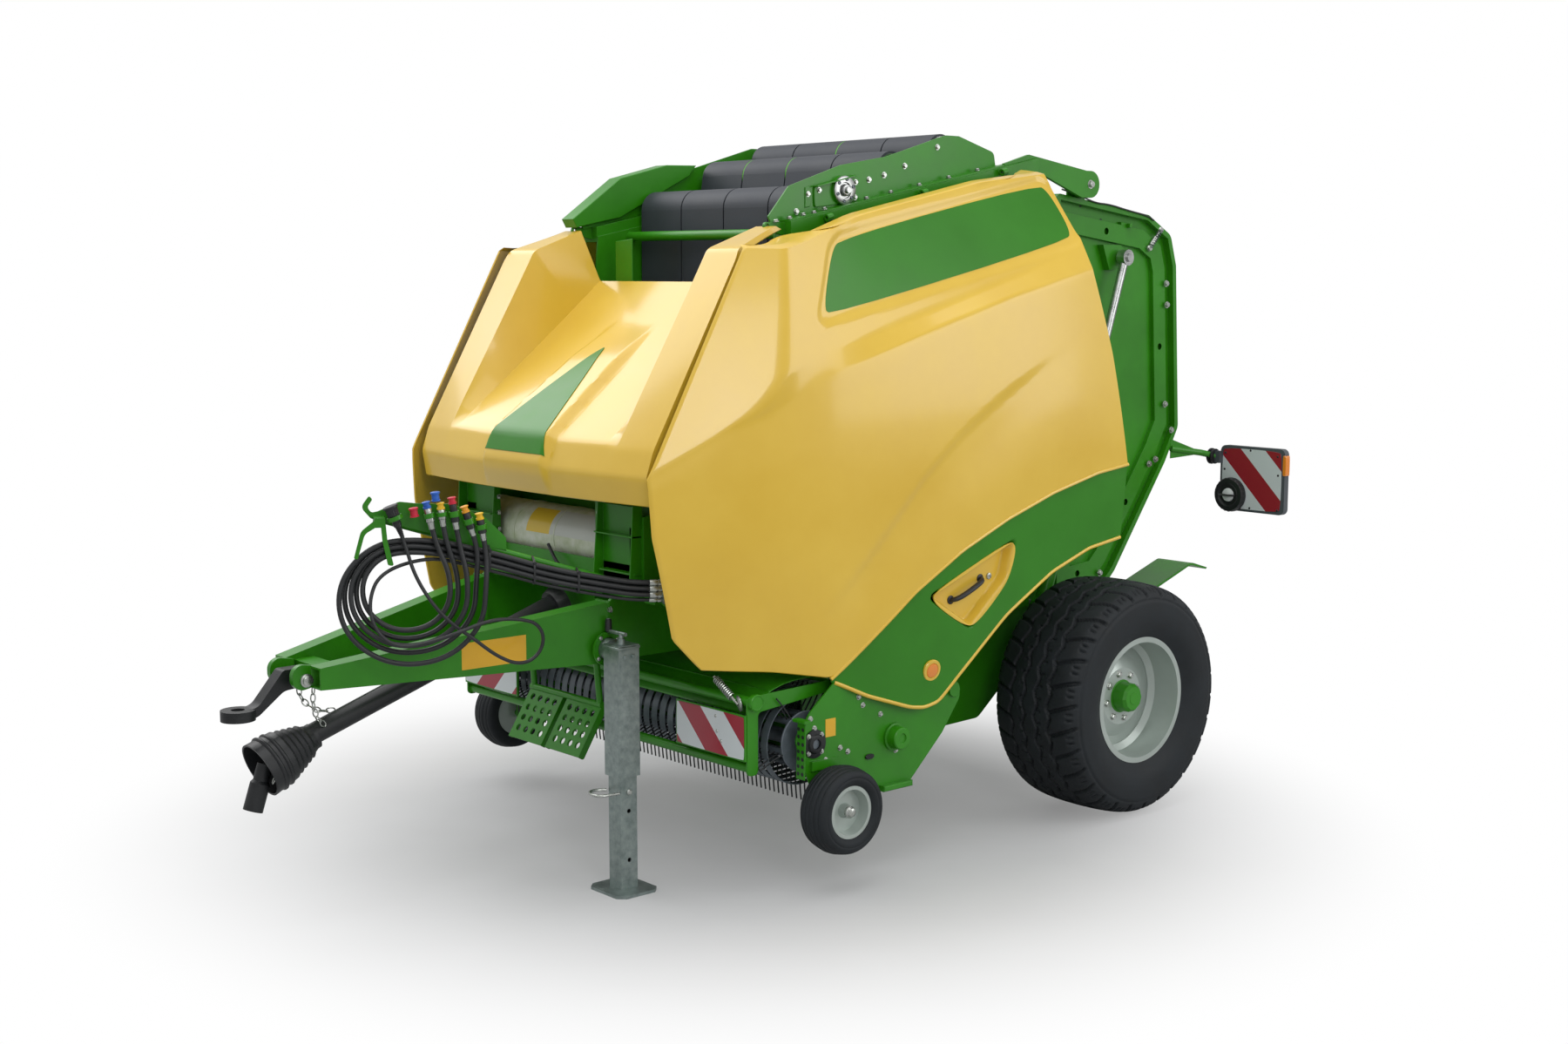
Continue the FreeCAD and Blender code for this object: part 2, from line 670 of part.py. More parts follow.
def gate_rib():
    # A pressed channel along the top, the rear and the bottom, with a slot in each straight.
    low, depth, sheet = wall_inner_x + 8, 22, 4
    outer, inner = 75, 165
    channel = gate_band(outer, inner, low, low + depth)
    channel = channel.cut(gate_band(outer + sheet, inner - sheet, low, low + depth - sheet))
    channel = channel.cut(block((600, 700), (1300, 1560), (1140, 2580)))
    for edge in inset(gate_outline, (outer + inner) / 2).Edges:
        if edge.Length > 200:
            middle = edge.valueAt((edge.FirstParameter + edge.LastParameter) / 2)
            channel = channel.cut(rod((low + depth / 2, middle.y, middle.z), (700, middle.y, middle.z), 16))
    return channel


def tailgate_plate():
    y, z = tailgate_pivot
    base = plate(gate_outline, "x", wall_inner_x, wall_inner_x + 8)
    rim = plate(gate_outline, "x", wall_inner_x + 8, flange_x)
    core = Part.Face(inset(gate_outline, 26)).extrude(Vector(200, 0, 0))
    core.translate(Vector(wall_inner_x, 0, 0))
    boss = rod((wall_inner_x + 8, y, z), (flange_x, y, z), 62)
    lug = plate([(y - 62, z - 80), (y - 62, z + 5, 30), (y, z + 64, 40), (y + 62, z + 5, 30),
                 (y + 62, z - 80)], "x", wall_inner_x, wall_inner_x + 8)
    bore = rod((0, y, z), (900, y, z), 25.05)
    return joined([base, rim.cut(core), boss, lug, gate_rib()]).cut(bore)


def tailgate_frame():
    tubes = [pipe((-wall_inner_x, y, z), (wall_inner_x, y, z), 45, 6)
             for y, z in ((1420, 2745), (1960, 2420), (2040, 1760), (1560, 1130))]
    arm = joined([rod((flange_x, 2243, 1575), (720, 2400, 1550), 16),
                  rod((720, 2400, 1550), (770, 2462, 1532), 16)])
    y, z = cylinder_eye
    ear = plate([(y - 110, z + 60), (y - 60, z - 60), (y + 40, z - 50, 30), (y + 40, z + 60, 30)],
                "x", wall_inner_x + 8, flange_x)
    return tubes + both(arm) + both(ear)


def tailgate_rollers():
    return [belt_roller(*place, wall_inner_x) for place in gate_rollers]


def tailgate_belts():
    return belts(gate_rollers[::-1])


def light_boards():
    board = plate([(785, 1265, 30), (1167, 1265, 30), (1167, 1590, 30), (785, 1590, 30)], "y", 2478, 2512)
    mount = block((756, 800), (2446, 2480), (1500, 1560))
    return both(joined([board, mount]))


def cylinder_barrels():
    (y0, z0), (y1, z1) = cylinder_foot, cylinder_eye
    length = math.hypot(y1 - y0, z1 - z0)
    dy, dz = (y1 - y0) / length, (z1 - z0) / length
    foot = rod((cylinder_x - 28, y0, z0), (cylinder_x + 28, y0, z0), 45)
    start = (cylinder_x, y0 + 30 * dy, z0 + 30 * dz)
    end = (cylinder_x, y0 + 880 * dy, z0 + 880 * dz)
    tube = rod(start, end, 36)
    bore = rod((cylinder_x, y0 + 60 * dy, z0 + 60 * dz), end, 20.05)
    pin_bore = rod((cylinder_x - 60, y0, z0), (cylinder_x + 60, y0, z0), 20.05)
    return both(joined([foot, tube]).cut(bore).cut(pin_bore))


def cylinder_rods():
    (y0, z0), (y1, z1) = cylinder_foot, cylinder_eye
    length = math.hypot(y1 - y0, z1 - z0)
    dy, dz = (y1 - y0) / length, (z1 - z0) / length
    eye = rod((cylinder_x - 22, y1, z1), (cylinder_x + 22, y1, z1), 38)
    shaft = rod((cylinder_x, y0 + 120 * dy, z0 + 120 * dz), (cylinder_x, y1 - 20 * dy, z1 - 20 * dz), 20)
    pin = rod((flange_x + 6, y1, z1), (cylinder_x + 34, y1, z1), 20)
    return both(joined([eye, shaft, pin]))


def cylinder_pins():
    y, z = cylinder_foot
    return both(rod((wall_inner_x + wall_thickness, y, z), (cylinder_x + 34, y, z), 20))


def bale_ramp():
    y, z = ramp_pivot
    tip = axle_y + rear_reach
    strip = plate([(y, z + 26), (1700, 700, 300), (2110, 892, 300), (2400, 988, 60), (tip, 950),
                   (tip - 8, 942), (2396, 976, 60), (2114, 880, 300), (1706, 686, 300), (y + 6, z + 12)],
                  "x", 470, 680)
    bars = [cross_rod(ramp_pivot, 28, 560), cross_rod((2114, 862), 24, 560)]
    return joined(both(strip) + bars)


# ---- Pickup ----

def pickup_frame():
    wall = plate([(291, 735, 40), (291, 660, 40), (188, 525, 30), (-17, 334, 40), (-330, 334, 40),
                  (-560, 420, 40), (-640, 620, 40), (-560, 720, 30), (-400, 850, 30), (-270, 850, 40),
                  (-150, 760, 40)], "x", pickup_wall_x, pickup_wall_x + 8)
    y, z = reel_centre
    bore = rod((1000, y, z), (1200, y, z), 20.05)
    gx, gy, gz = gauge_centre
    stub = rod((pickup_wall_x + 4, gy, gz), (gx + 30, gy, gz), 15)
    arm = plate([(gy - 30, gz - 28, 25), (gy + 30, gz - 28, 25), (gy + 60, gz + 150), (gy - 20, gz + 150)],
                "x", pickup_wall_x + 8, pickup_wall_x + 16)
    arm_high = block((pickup_wall_x + 8, pickup_wall_x + 20), (-560, -420), (gz + 150, 520))
    tubes = [pipe((-pickup_wall_x, y, z), (pickup_wall_x, y, z), 30, 5)
             for y, z in ((-260, 431), (-260, 749))]
    pivot_bore = rod((1000, *pickup_pivot), (1200, *pickup_pivot), 30.05)
    side = joined([wall, arm, arm_high, stub]).cut(bore).cut(pivot_bore)
    return joined(both(side) + tubes)


def stripper_bands():
    y, z = reel_centre
    inner = band_radius - band_thickness
    outer_profile = [(-290, z + band_radius), (y, z + band_radius),
                     (y - band_radius, z + band_radius, band_radius - 1),
                     (y - band_radius, z - band_radius, band_radius - 1), (y, z - band_radius),
                     (-290, z - band_radius + 10), (-290, z - inner + 10), (y, z - inner),
                     (y - inner, z - inner, inner - 1), (y - inner, z + inner, inner - 1), (y, z + inner),
                     (-290, z + inner)]
    count = int(2 * pickup_half_width / tine_pitch)
    first = -count * tine_pitch / 2
    bands = []
    for i in range(count + 1):
        middle = first + i * tine_pitch
        bands.append(plate(outer_profile, "x", middle - band_width / 2, middle + band_width / 2))
    rails = [block((-1060, 1060), (-302, -290), (z - band_radius + 2, z - band_radius + 40)),
             block((-1060, 1060), (-302, -290), (z + band_radius - 40, z + band_radius - 2))]
    return joined(bands + rails)


def tine_reel():
    y, z = reel_centre
    shaft = cross_rod((y, z), 30, 1050)
    ends = cross_rod((y, z), 20, pickup_wall_x + 8)
    discs = [turned([(x, 20), (x + 10, 20), (x + 10, 125), (x, 125)], (y, z)) for x in (-1035, 1025)]
    parts = [shaft, ends] + discs
    count = int(2 * pickup_half_width / tine_pitch)
    first = -count * tine_pitch / 2 + tine_pitch / 2
    for bar in range(tine_bars):
        angle = 2 * math.pi * bar / tine_bars
        cy, cz = y + 105 * math.cos(angle), z + 105 * math.sin(angle)
        parts.append(cross_rod((cy, cz), 14, 1030))
        tines = []
        for i in range(count):
            x = first + i * tine_pitch
            tine = block((x - tine_size / 2, x + tine_size / 2), (y + 105, y + tine_radius),
                         (z - tine_size / 2, z + tine_size / 2))
            tine.rotate(Vector(x, y, z), Vector(1, 0, 0), math.degrees(angle))
            tines.append(tine)
        parts += tines
    return joined(parts)


def crop_guard():
    y, z = guard_pivot
    upper = cross_rod((-800, 782), 20, 1020)
    lower = cross_rod((-800, 517), 20, 1020)
    arm = plate([(y + 20, z - 20, 15), (y + 20, z + 20, 15), (-830, 806, 20), (-830, 490, 20),
                 (-775, 490, 20), (-775, 740, 20)], "x", 1012, 1020)
    arms = both(arm)
    ring = both(rod((1020, -800, 786), (1034, -800, 786), 30))
    pivot = both(rod((1020, y, z), (pickup_wall_x - 1, y, z), 14))
    return joined([upper, lower] + arms + ring + pivot)


def warning_boards():
    return both(block((582, 1017), (-840, -830), (550, 735)))


def access_step():
    # Two perforated treads on bent hangers.
    width, hole = 250, 15
    front, rear = (-1010, 430), (-880, 640)
    parts = []
    for x in (-400, -120):
        tread = plate([front, rear, (rear[0] + 8, rear[1] - 4), (front[0] + 8, front[1] - 4)],
                      "x", x, x + width)
        for row in (0.2, 0.4, 0.6, 0.8):
            y = front[0] + (rear[0] - front[0]) * row
            z = front[1] + (rear[1] - front[1]) * row
            for column in (0.17, 0.39, 0.61, 0.83):
                middle = x + width * column
                tread = tread.cut(rod((middle, y - 21, z + 13), (middle, y + 29, z - 18), hole))
        sides = [plate([front, rear, (rear[0] + 26, rear[1] - 16, 10), (front[0] + 26, front[1] - 16, 10)],
                       "x", end, end + 5) for end in (x, x + width - 5)]
        parts += [tread] + sides
    hanger = [rod((x, -880, 636), (x, -905, 915), 14) for x in (-380, 110)]
    return joined(parts + hanger + [rod((-400, -882, 636), (130, -882, 636), 14)])


def feed_rotor():
    drum = cross_rod(rotor_centre, 110, wall_inner_x - 20)
    stub = cross_rod(rotor_centre, 30, wall_inner_x)
    y, z = rotor_centre
    stars = []
    for i in range(13):
        x = -540 + 90 * i
        points = []
        for tooth in range(4):
            angle = math.pi / 2 * tooth + 0.3 * i
            for shift, radius in ((-0.45, 105), (0, 228), (0.12, 228), (0.35, 105)):
                points.append((y + radius * math.cos(angle + shift), z + radius * math.sin(angle + shift)))
        stars.append(plate(points, "x", x - 5, x + 5))
    return joined([drum, stub] + stars)


# ---- Supply lines ----

# The holder, the couplers and the lines are laid out in their own frame: along
# the stay towards the tractor, out to the machine's left, and up.
stay_start = (700, -1060)
stay_ahead = (-0.42, -0.9075)
stay_rise = 0.31
stay_foot_z = 1215
stay_radius = 14
hose_radius = 10
cable_radius = 7
coupler_radius = 15
plug_radius = 24
coupler_out = 79
line_gap = 0.05             # between a coupler and the clip round it
# Top and bottom of each coupler as (along, up), the last one being the cable's plug
coupler_ends = [((671, 1556), (656, 1466)), ((727, 1584), (697, 1485)), ((772, 1619), (757, 1512)),
                ((815, 1600), (806, 1525)), ((868, 1605), (849, 1516))]
plug_ends = ((1000, 1593), (972, 1516))
manifold_face = -35
# The loose part of each hose, from its coupler, as (along, out, up). The even
# ones hang in front of the odd ones, and each loop lies inside the one before.
hose_loops = (
    [(656, 79, 1466), (644, 79, 1393), (650, 102, 1292), (666, 102, 1127), (811, 102, 998),
     (1026, 97, 992), (1186, 80, 1119), (1201, 62, 1309), (1063, 52, 1455)],
    [(697, 79, 1485), (676, 79, 1414), (684, 79, 1307), (696, 79, 1152), (827, 79, 1038),
     (1021, 74, 1032), (1165, 56, 1145), (1178, 37, 1314), (1054, 27, 1444)],
    [(757, 79, 1512), (747, 79, 1439), (718, 102, 1317), (727, 102, 1171), (843, 102, 1068),
     (1016, 97, 1063), (1144, 80, 1165), (1156, 62, 1317), (1045, 52, 1434)],
    [(806, 79, 1525), (797, 79, 1452), (752, 79, 1323), (757, 79, 1185), (859, 79, 1092),
     (1010, 74, 1087), (1123, 56, 1179), (1133, 37, 1317), (1036, 27, 1422)],
    [(849, 79, 1516), (834, 79, 1444), (785, 102, 1331), (788, 102, 1208), (875, 102, 1127),
     (1005, 97, 1123), (1102, 80, 1203), (1111, 62, 1321), (1027, 52, 1412)],
)
# The tied bundle beside the stay, as (along, up) of its middle
bundle = [(860, 1437), (640, 1381), (400, 1302), (180, 1256), (50, 1232), (manifold_face, 1232)]
cable_bundle = [(860, 1437), (725, 1404), (580, 1361), (430, 1312), (280, 1277), (150, 1248), (40, 1232),
                (manifold_face, 1232)]


def by_stay(along, out, up):
    ax, ay = stay_ahead
    return (stay_start[0] + along * ax - out * ay, stay_start[1] + along * ay + out * ax, up)


def placed_by_stay(shape):
    # Moves a shape drawn as (along, out, up) to its place on the machine.
    angle = math.degrees(math.atan2(stay_ahead[1], stay_ahead[0]))
    shape.Placement = FreeCAD.Placement(Vector(*stay_start, 0), FreeCAD.Rotation(Vector(0, 0, 1), angle))
    return shape


def tube(route, radius):
    # Straight runs joined by tangent arcs, each using 0.45 of its shorter run.
    points = [Vector(*point) for point in route]
    edges, start, bends = [], points[0], []
    for before, corner, after in zip(points, points[1:], points[2:]):
        back, ahead = before - corner, after - corner
        reach = 0.45 * min(back.Length, ahead.Length)
        back.normalize()
        ahead.normalize()
        half_turn = (math.pi - back.getAngle(ahead)) / 2
        bend = reach / math.tan(half_turn)
        middle = corner + (back + ahead).normalize() * (bend / math.cos(half_turn) - bend)
        first, last = corner + back * reach, corner + ahead * reach
        edges.append(Part.makeLine(start, first))
        edges.append(Part.Arc(first, middle, last).toShape())
        start = last
        bends.append(round(bend))
    edges.append(Part.makeLine(start, points[-1]))
    path = Part.Wire(edges)
    section = Part.Wire([Part.makeCircle(radius, points[0], points[1] - points[0])])
    solid = path.makePipeShell([section], True, False)
    share = solid.Volume / (math.pi * radius ** 2 * path.Length)
    print("line of", round(path.Length), "mm, bends", bends, "volume over section x length", round(share, 3))
    return solid


def hose_route(k):
    # Down from its coupler, round a hanging loop and back beside the stay.
    run_out = (52, 27)[k % 2]
    stack = 24 - 12 * k
    tied = [(along, run_out, up + stack) for along, up in bundle]
    return [by_stay(*point) for point in hose_loops[k] + tied]


def cable_route():
    # From its plug across the loops, round a small loop of its own and back below the hoses.
    loose = [(972, 79, 1516), (948, 79, 1449), (920, 112, 1335), (855, 138, 1220), (780, 141, 1140),
             (705, 131, 1085), (655, 112, 1040), (602, 90, 1000), (540, 60, 967), (480, 38, 967),
             (434, 26, 1006), (423, 30, 1065), (453, 44, 1117), (510, 68, 1138), (580, 100, 1150),
             (655, 136, 1150), (740, 166, 1128), (860, 166, 1087), (985, 138, 1062), (1070, 120, 1130),
             (1090, 98, 1240), (1040, 64, 1345)]
    tied = [(along, 39, up - 46) for along, up in cable_bundle]
    return [by_stay(*point) for point in loose + tied]


def held_line(ends, radius):
    # A clip round a coupler or plug, on an arm from the holder's plate.
    top, low = [Vector(along, coupler_out, up) for along, up in ends]
    first, middle, last = [top + (low - top) * share for share in (0.5, 0.6, 0.7)]
    arm = block((middle.x - 6, middle.x + 6), (10, coupler_out), (middle.z - 8, middle.z + 8))
    ring = rod(first, last, radius + 5)
    return arm.fuse(ring).cut(rod(top, low, radius + line_gap))


def hose_holder():
    front = 1040
    stay = rod((-20, 0, stay_foot_z - 20 * stay_rise), (front, 0, stay_foot_z + front * stay_rise),
               stay_radius)
    hook = [(560, 1400), (560, 1450, 20), (640, 1530, 40), (760, 1585, 60), (900, 1592, 40),
            (960, 1600, 30), (1010, 1578, 30), (1040, 1566), (1063, 1562, 12), (1078, 1583, 14),
            (1058, 1612, 8), (1070, 1626, 6), (1102, 1583, 24), (1066, 1540, 24), (1000, 1520, 30),
            (780, 1462, 60), (700, 1425)]
    bar = plate(hook, "y", 6, 14)
    shelf = block((-100, -40), (-20, 80), (1164, 1172))
    carrier = block((1018, 1058), (6, 78), (1512, 1548))
    outer_finger = plate([(1030, 1545, 10), (1050, 1545), (1108, 1500, 40), (1136, 1400, 4), (1122, 1396, 4),
                          (1094, 1490, 36), (1042, 1520), (1030, 1512, 10)], "y", 70, 78)
    inner_finger = plate([(1018, 1540), (1036, 1540), (1030, 1460, 60), (1012, 1370, 6), (990, 1366, 6),
                          (1012, 1462, 60)], "y", 70, 78)
    saddle = rod((1001, 6, 1378), (1001, 78, 1378), 8)
    clips = [held_line(ends, coupler_radius) for ends in coupler_ends]
    clips.append(held_line(plug_ends, plug_radius))
    foot = block((652, 722), (-1050, -1012), (1160, 1240))
    fingers = [carrier, outer_finger, inner_finger, saddle]
    return joined([placed_by_stay(joined([stay, bar, shelf] + fingers + clips)), foot])


def hose_couplers():
    # Each hose's coupler with its dust cap, and the cable's plug.
    parts = []
    for (top_along, top_up), (low_along, low_up) in coupler_ends:
        start, end = (top_along, coupler_out, top_up), (low_along, coupler_out, low_up)
        length = math.dist(start, end)
        parts.append(turned_along([(0, 0), (0, 13, 3), (12, 13), (14, 9), (22, 9), (24, coupler_radius),
                                   (length - 6, coupler_radius), (length - 4, 17), (length, 17), (length, 0)],
                                  start, end))
    start, end = [(along, coupler_out, up) for along, up in plug_ends]
    length = math.dist(start, end)
    parts.append(turned_along([(0, 0), (0, plug_radius, 4), (length - 22, plug_radius), (length - 14, 15),
                               (length, 10), (length, 0)], start, end))
    return [placed_by_stay(Part.makeCompound([part])).Solids[0] for part in parts]


def hose_manifold():
    # The block that the lines end in, with one fitting for each.
    case = block((-95, manifold_face - 5), (8, 72), (1172, 1274))
    fittings = []
    for k in range(len(coupler_ends)):
        out, up = (52, 27)[k % 2], 1232 + 24 - 12 * k
        fittings.append(rod((manifold_face - 5, out, up), (manifold_face, out, up), hose_radius + 1.5))
    fittings.append(rod((manifold_face - 5, 39, 1186), (manifold_face, 39, 1186), cable_radius + 2))
    return placed_by_stay(joined([case] + fittings))


nodes = {
    "axle_beam": axle_beam,
    "lower_frame": lower_frame,
    "drawbar": drawbar,
    "hitch_eye": hitch_eye,
    "jack_case": jack_case,
    "jack_leg": jack_leg,
    "gearbox": gearbox,
    "shaft_guard": shaft_guard,
    "drive_yoke": drive_yoke,
    "hinge_arms": hinge_arms,
    "belt_rollers": belt_rollers,
    "front_belts": front_belts,
    "tower_crossbars": tower_crossbar,
    "net_box": net_box,
    "net_roll": net_roll,
    "front_hood": front_hood,
    "tailgate_frame": tailgate_frame,
    "tailgate_rollers": tailgate_rollers,
    "tailgate_belts": tailgate_belts,
    "light_boards": light_boards,
    "cylinder_barrels": cylinder_barrels,
    "cylinder_rods": cylinder_rods,
    "cylinder_pins": cylinder_pins,
    "bale_ramp": bale_ramp,
    "pickup_frame": pickup_frame,
    "stripper_bands": stripper_bands,
    "tine_reel": tine_reel,
    "feed_rotor": feed_rotor,
    "crop_guard": crop_guard,
    "warning_boards": warning_boards,
    "access_step": access_step,
    "hose_holder": hose_holder,
    "hose_couplers": hose_couplers,
    "hose_manifold": hose_manifold,
    "electric_cable": lambda: tube(cable_route(), cable_radius),
}
hose_names = ("one", "two", "three", "four", "five")
paired_nodes = {
    "tyre": main_tyre,
    "rim": main_rim,
    "gauge_tyre": gauge_tyre,
    "gauge_rim": gauge_rim,
    "chamber_wall": chamber_wall,
    "belt_tower": tower_plate,
    "side_hood": side_hood,
    "tailgate_plate": tailgate_plate,
}


def export(name, shape):
    if isinstance(shape, list):
        shape = Part.makeCompound(shape)
    shape.exportStep("parts/" + name + ".step")


def main():
    os.makedirs("parts", exist_ok=True)
    for name, make in nodes.items():
        export(name, make())
    for k, name in enumerate(hose_names):
        export("hose_" + name, tube(hose_route(k), hose_radius))
    for name, make in paired_nodes.items():
        shape = make()
        export(name + "_left", shape)
        export(name + "_right", mirrored(shape))


main()
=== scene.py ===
import math

import bmesh
import bpy
import numpy as np
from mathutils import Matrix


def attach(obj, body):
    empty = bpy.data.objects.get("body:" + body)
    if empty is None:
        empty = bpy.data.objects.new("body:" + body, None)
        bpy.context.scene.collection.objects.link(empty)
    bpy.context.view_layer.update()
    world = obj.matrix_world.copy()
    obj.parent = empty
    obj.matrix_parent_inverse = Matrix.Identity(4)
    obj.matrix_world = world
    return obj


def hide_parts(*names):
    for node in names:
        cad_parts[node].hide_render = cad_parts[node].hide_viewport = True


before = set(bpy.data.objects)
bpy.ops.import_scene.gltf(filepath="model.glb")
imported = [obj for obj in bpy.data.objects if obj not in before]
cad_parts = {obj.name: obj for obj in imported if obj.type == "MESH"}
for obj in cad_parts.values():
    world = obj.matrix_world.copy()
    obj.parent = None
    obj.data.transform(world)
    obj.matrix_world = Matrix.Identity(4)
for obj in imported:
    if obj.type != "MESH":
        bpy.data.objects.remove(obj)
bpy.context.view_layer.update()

# ---- camera, floor and light ----

cameraSetup = {
    "place": (6.842, -5.717, 2.471),
    "pitch": 90 - 7.29,                # degrees down from the zenith
    "heading": 48.91,
    "lens": 45.63,                     # mm on a 36 mm sensor
}


def makeCamera():
    data = bpy.data.cameras.new("camera")
    data.lens = cameraSetup["lens"]
    data.clip_end = 200
    camera = bpy.data.objects.new("camera", data)
    camera.location = cameraSetup["place"]
    camera.rotation_euler = (math.radians(cameraSetup["pitch"]), 0, math.radians(cameraSetup["heading"]))
    bpy.context.scene.collection.objects.link(camera)
    bpy.context.scene.camera = camera


def linearColour(text):
    # sRGB hex to linear light: ((c + 0.055) / 1.055) ^ 2.4, and c / 12.92 where it is dark
    c = np.array([int(text[i:i + 2], 16) for i in (1, 3, 5)]) / 255
    return (*np.where(c > 0.04045, ((c + 0.055) / 1.055) ** 2.4, c / 12.92), 1)


def addNode(tree, kind, values=None, links=None, **properties):
    # a shader node with its properties, its inputs' values and the sockets that feed its inputs
    node = tree.nodes.new("ShaderNode" + kind)
    for name, value in properties.items():
        setattr(node, name, value)
    for name, value in (values or {}).items():
        node.inputs[name].default_value = value
    for name, socket in (links or {}).items():
        tree.links.new(socket, node.inputs[name])
    return node


lightSetup = {
    "world": 0.62,                     # strength that lights the object
    "lamps": [
        # place, aimed at, width, height, watts
        ((0.5, -1.0, 7.5), (0, 0.3, 1.0), 7.0, 8.0, 235),
        ((-5.9, -1.9, 6.6), (0, -0.8, 2.0), 5.5, 5.0, 215),
        ((7.8, -3.4, 5.0), (0.9, -0.8, 1.9), 2.0, 2.6, 95),
        ((7.0, 4.5, 4.0), (0, 0.6, 1.2), 4.0, 4.0, 130),
    ],
    "floor": "#B9BABB",
    "paleNear": 0.18,                  # share of white that the camera sees near the machine
    "fadeFrom": 1.2,                   # metres from the middle at which the floor starts to pale
    "fadeOver": 1.9,
}


def makeStudio():
    scene = bpy.context.scene
    scene.view_settings.view_transform = "Standard"
    world = bpy.data.worlds.new("studio")
    scene.world = world
    world.use_nodes = True
    tree = world.node_tree
    tree.nodes.clear()
    path = addNode(tree, "LightPath")
    strength = addNode(tree, "MapRange", values={"To Min": lightSetup["world"], "To Max": 1.0},
                       links={"Value": path.outputs["Is Camera Ray"]})
    light = addNode(tree, "Background", values={"Color": (1, 1, 1, 1)},
                    links={"Strength": strength.outputs[0]})
    addNode(tree, "OutputWorld", links={"Surface": light.outputs[0]})
    for number, (place, target, width, height, watts) in enumerate(lightSetup["lamps"]):
        data = bpy.data.lights.new("softbox" + str(number), "AREA")
        data.shape = "RECTANGLE"
        data.size, data.size_y, data.energy = width, height, watts
        lamp = bpy.data.objects.new("softbox" + str(number), data)
        lamp.location = place
        aim = np.subtract(target, place)
        tilt = math.acos(-aim[2] / np.linalg.norm(aim))
        lamp.rotation_euler = (tilt, 0, math.atan2(aim[1], aim[0]) - math.pi / 2)
        scene.collection.objects.link(lamp)
    makeFloor()


def makeFloor():
    # a square of floor that pales to white away from the machine
    material = bpy.data.materials.new("paleFloor")
    material.use_nodes = True
    tree = material.node_tree
    tree.nodes.clear()
    place = addNode(tree, "TexCoord")
    distance = addNode(tree, "VectorMath", links={0: place.outputs["Object"]}, operation="LENGTH")
    fade = addNode(tree, "MapRange", interpolation_type="SMOOTHSTEP",
                   values={"From Min": lightSetup["fadeFrom"], "To Min": lightSetup["paleNear"],
                           "From Max": lightSetup["fadeFrom"] + lightSetup["fadeOver"]},
                   links={"Value": distance.outputs["Value"]})
    path = addNode(tree, "LightPath")
    shown = addNode(tree, "Math", links={0: fade.outputs[0], 1: path.outputs["Is Camera Ray"]},
                    operation="MULTIPLY")
    patches = addNode(tree, "TexNoise", values={"Scale": 1.3, "Detail": 5.0},
                      links={"Vector": place.outputs["Object"]})
    tone = addNode(tree, "MapRange",
                   values={"From Min": 0.3, "From Max": 0.7, "To Min": 0.94, "To Max": 1.04},
                   links={"Value": patches.outputs[0]})
    colour = addNode(tree, "VectorMath", values={0: linearColour(lightSetup["floor"])[:3]},
                     links={1: tone.outputs[0]}, operation="MULTIPLY")
    concrete = addNode(tree, "BsdfPrincipled", values={"Roughness": 0.55},
                       links={"Base Color": colour.outputs[0]})
    white = addNode(tree, "Emission", values={"Color": (1, 1, 1, 1), "Strength": 1.0})
    mixed = addNode(tree, "MixShader",
                    links={0: shown.outputs[0], 1: concrete.outputs[0], 2: white.outputs[0]})
    addNode(tree, "OutputMaterial", links={"Surface": mixed.outputs[0]})
    mesh = bpy.data.meshes.new("floor")
    mesh.from_pydata([(-60, -60, 0), (60, -60, 0), (60, 60, 0), (-60, 60, 0)], [], [(0, 1, 2, 3)])
    mesh.materials.append(material)
    floor = bpy.data.objects.new("floor", mesh)
    bpy.context.scene.collection.objects.link(floor)


makeCamera()
makeStudio()
print("camera, floor and lights made")

# ---- materials ----

materials = {}


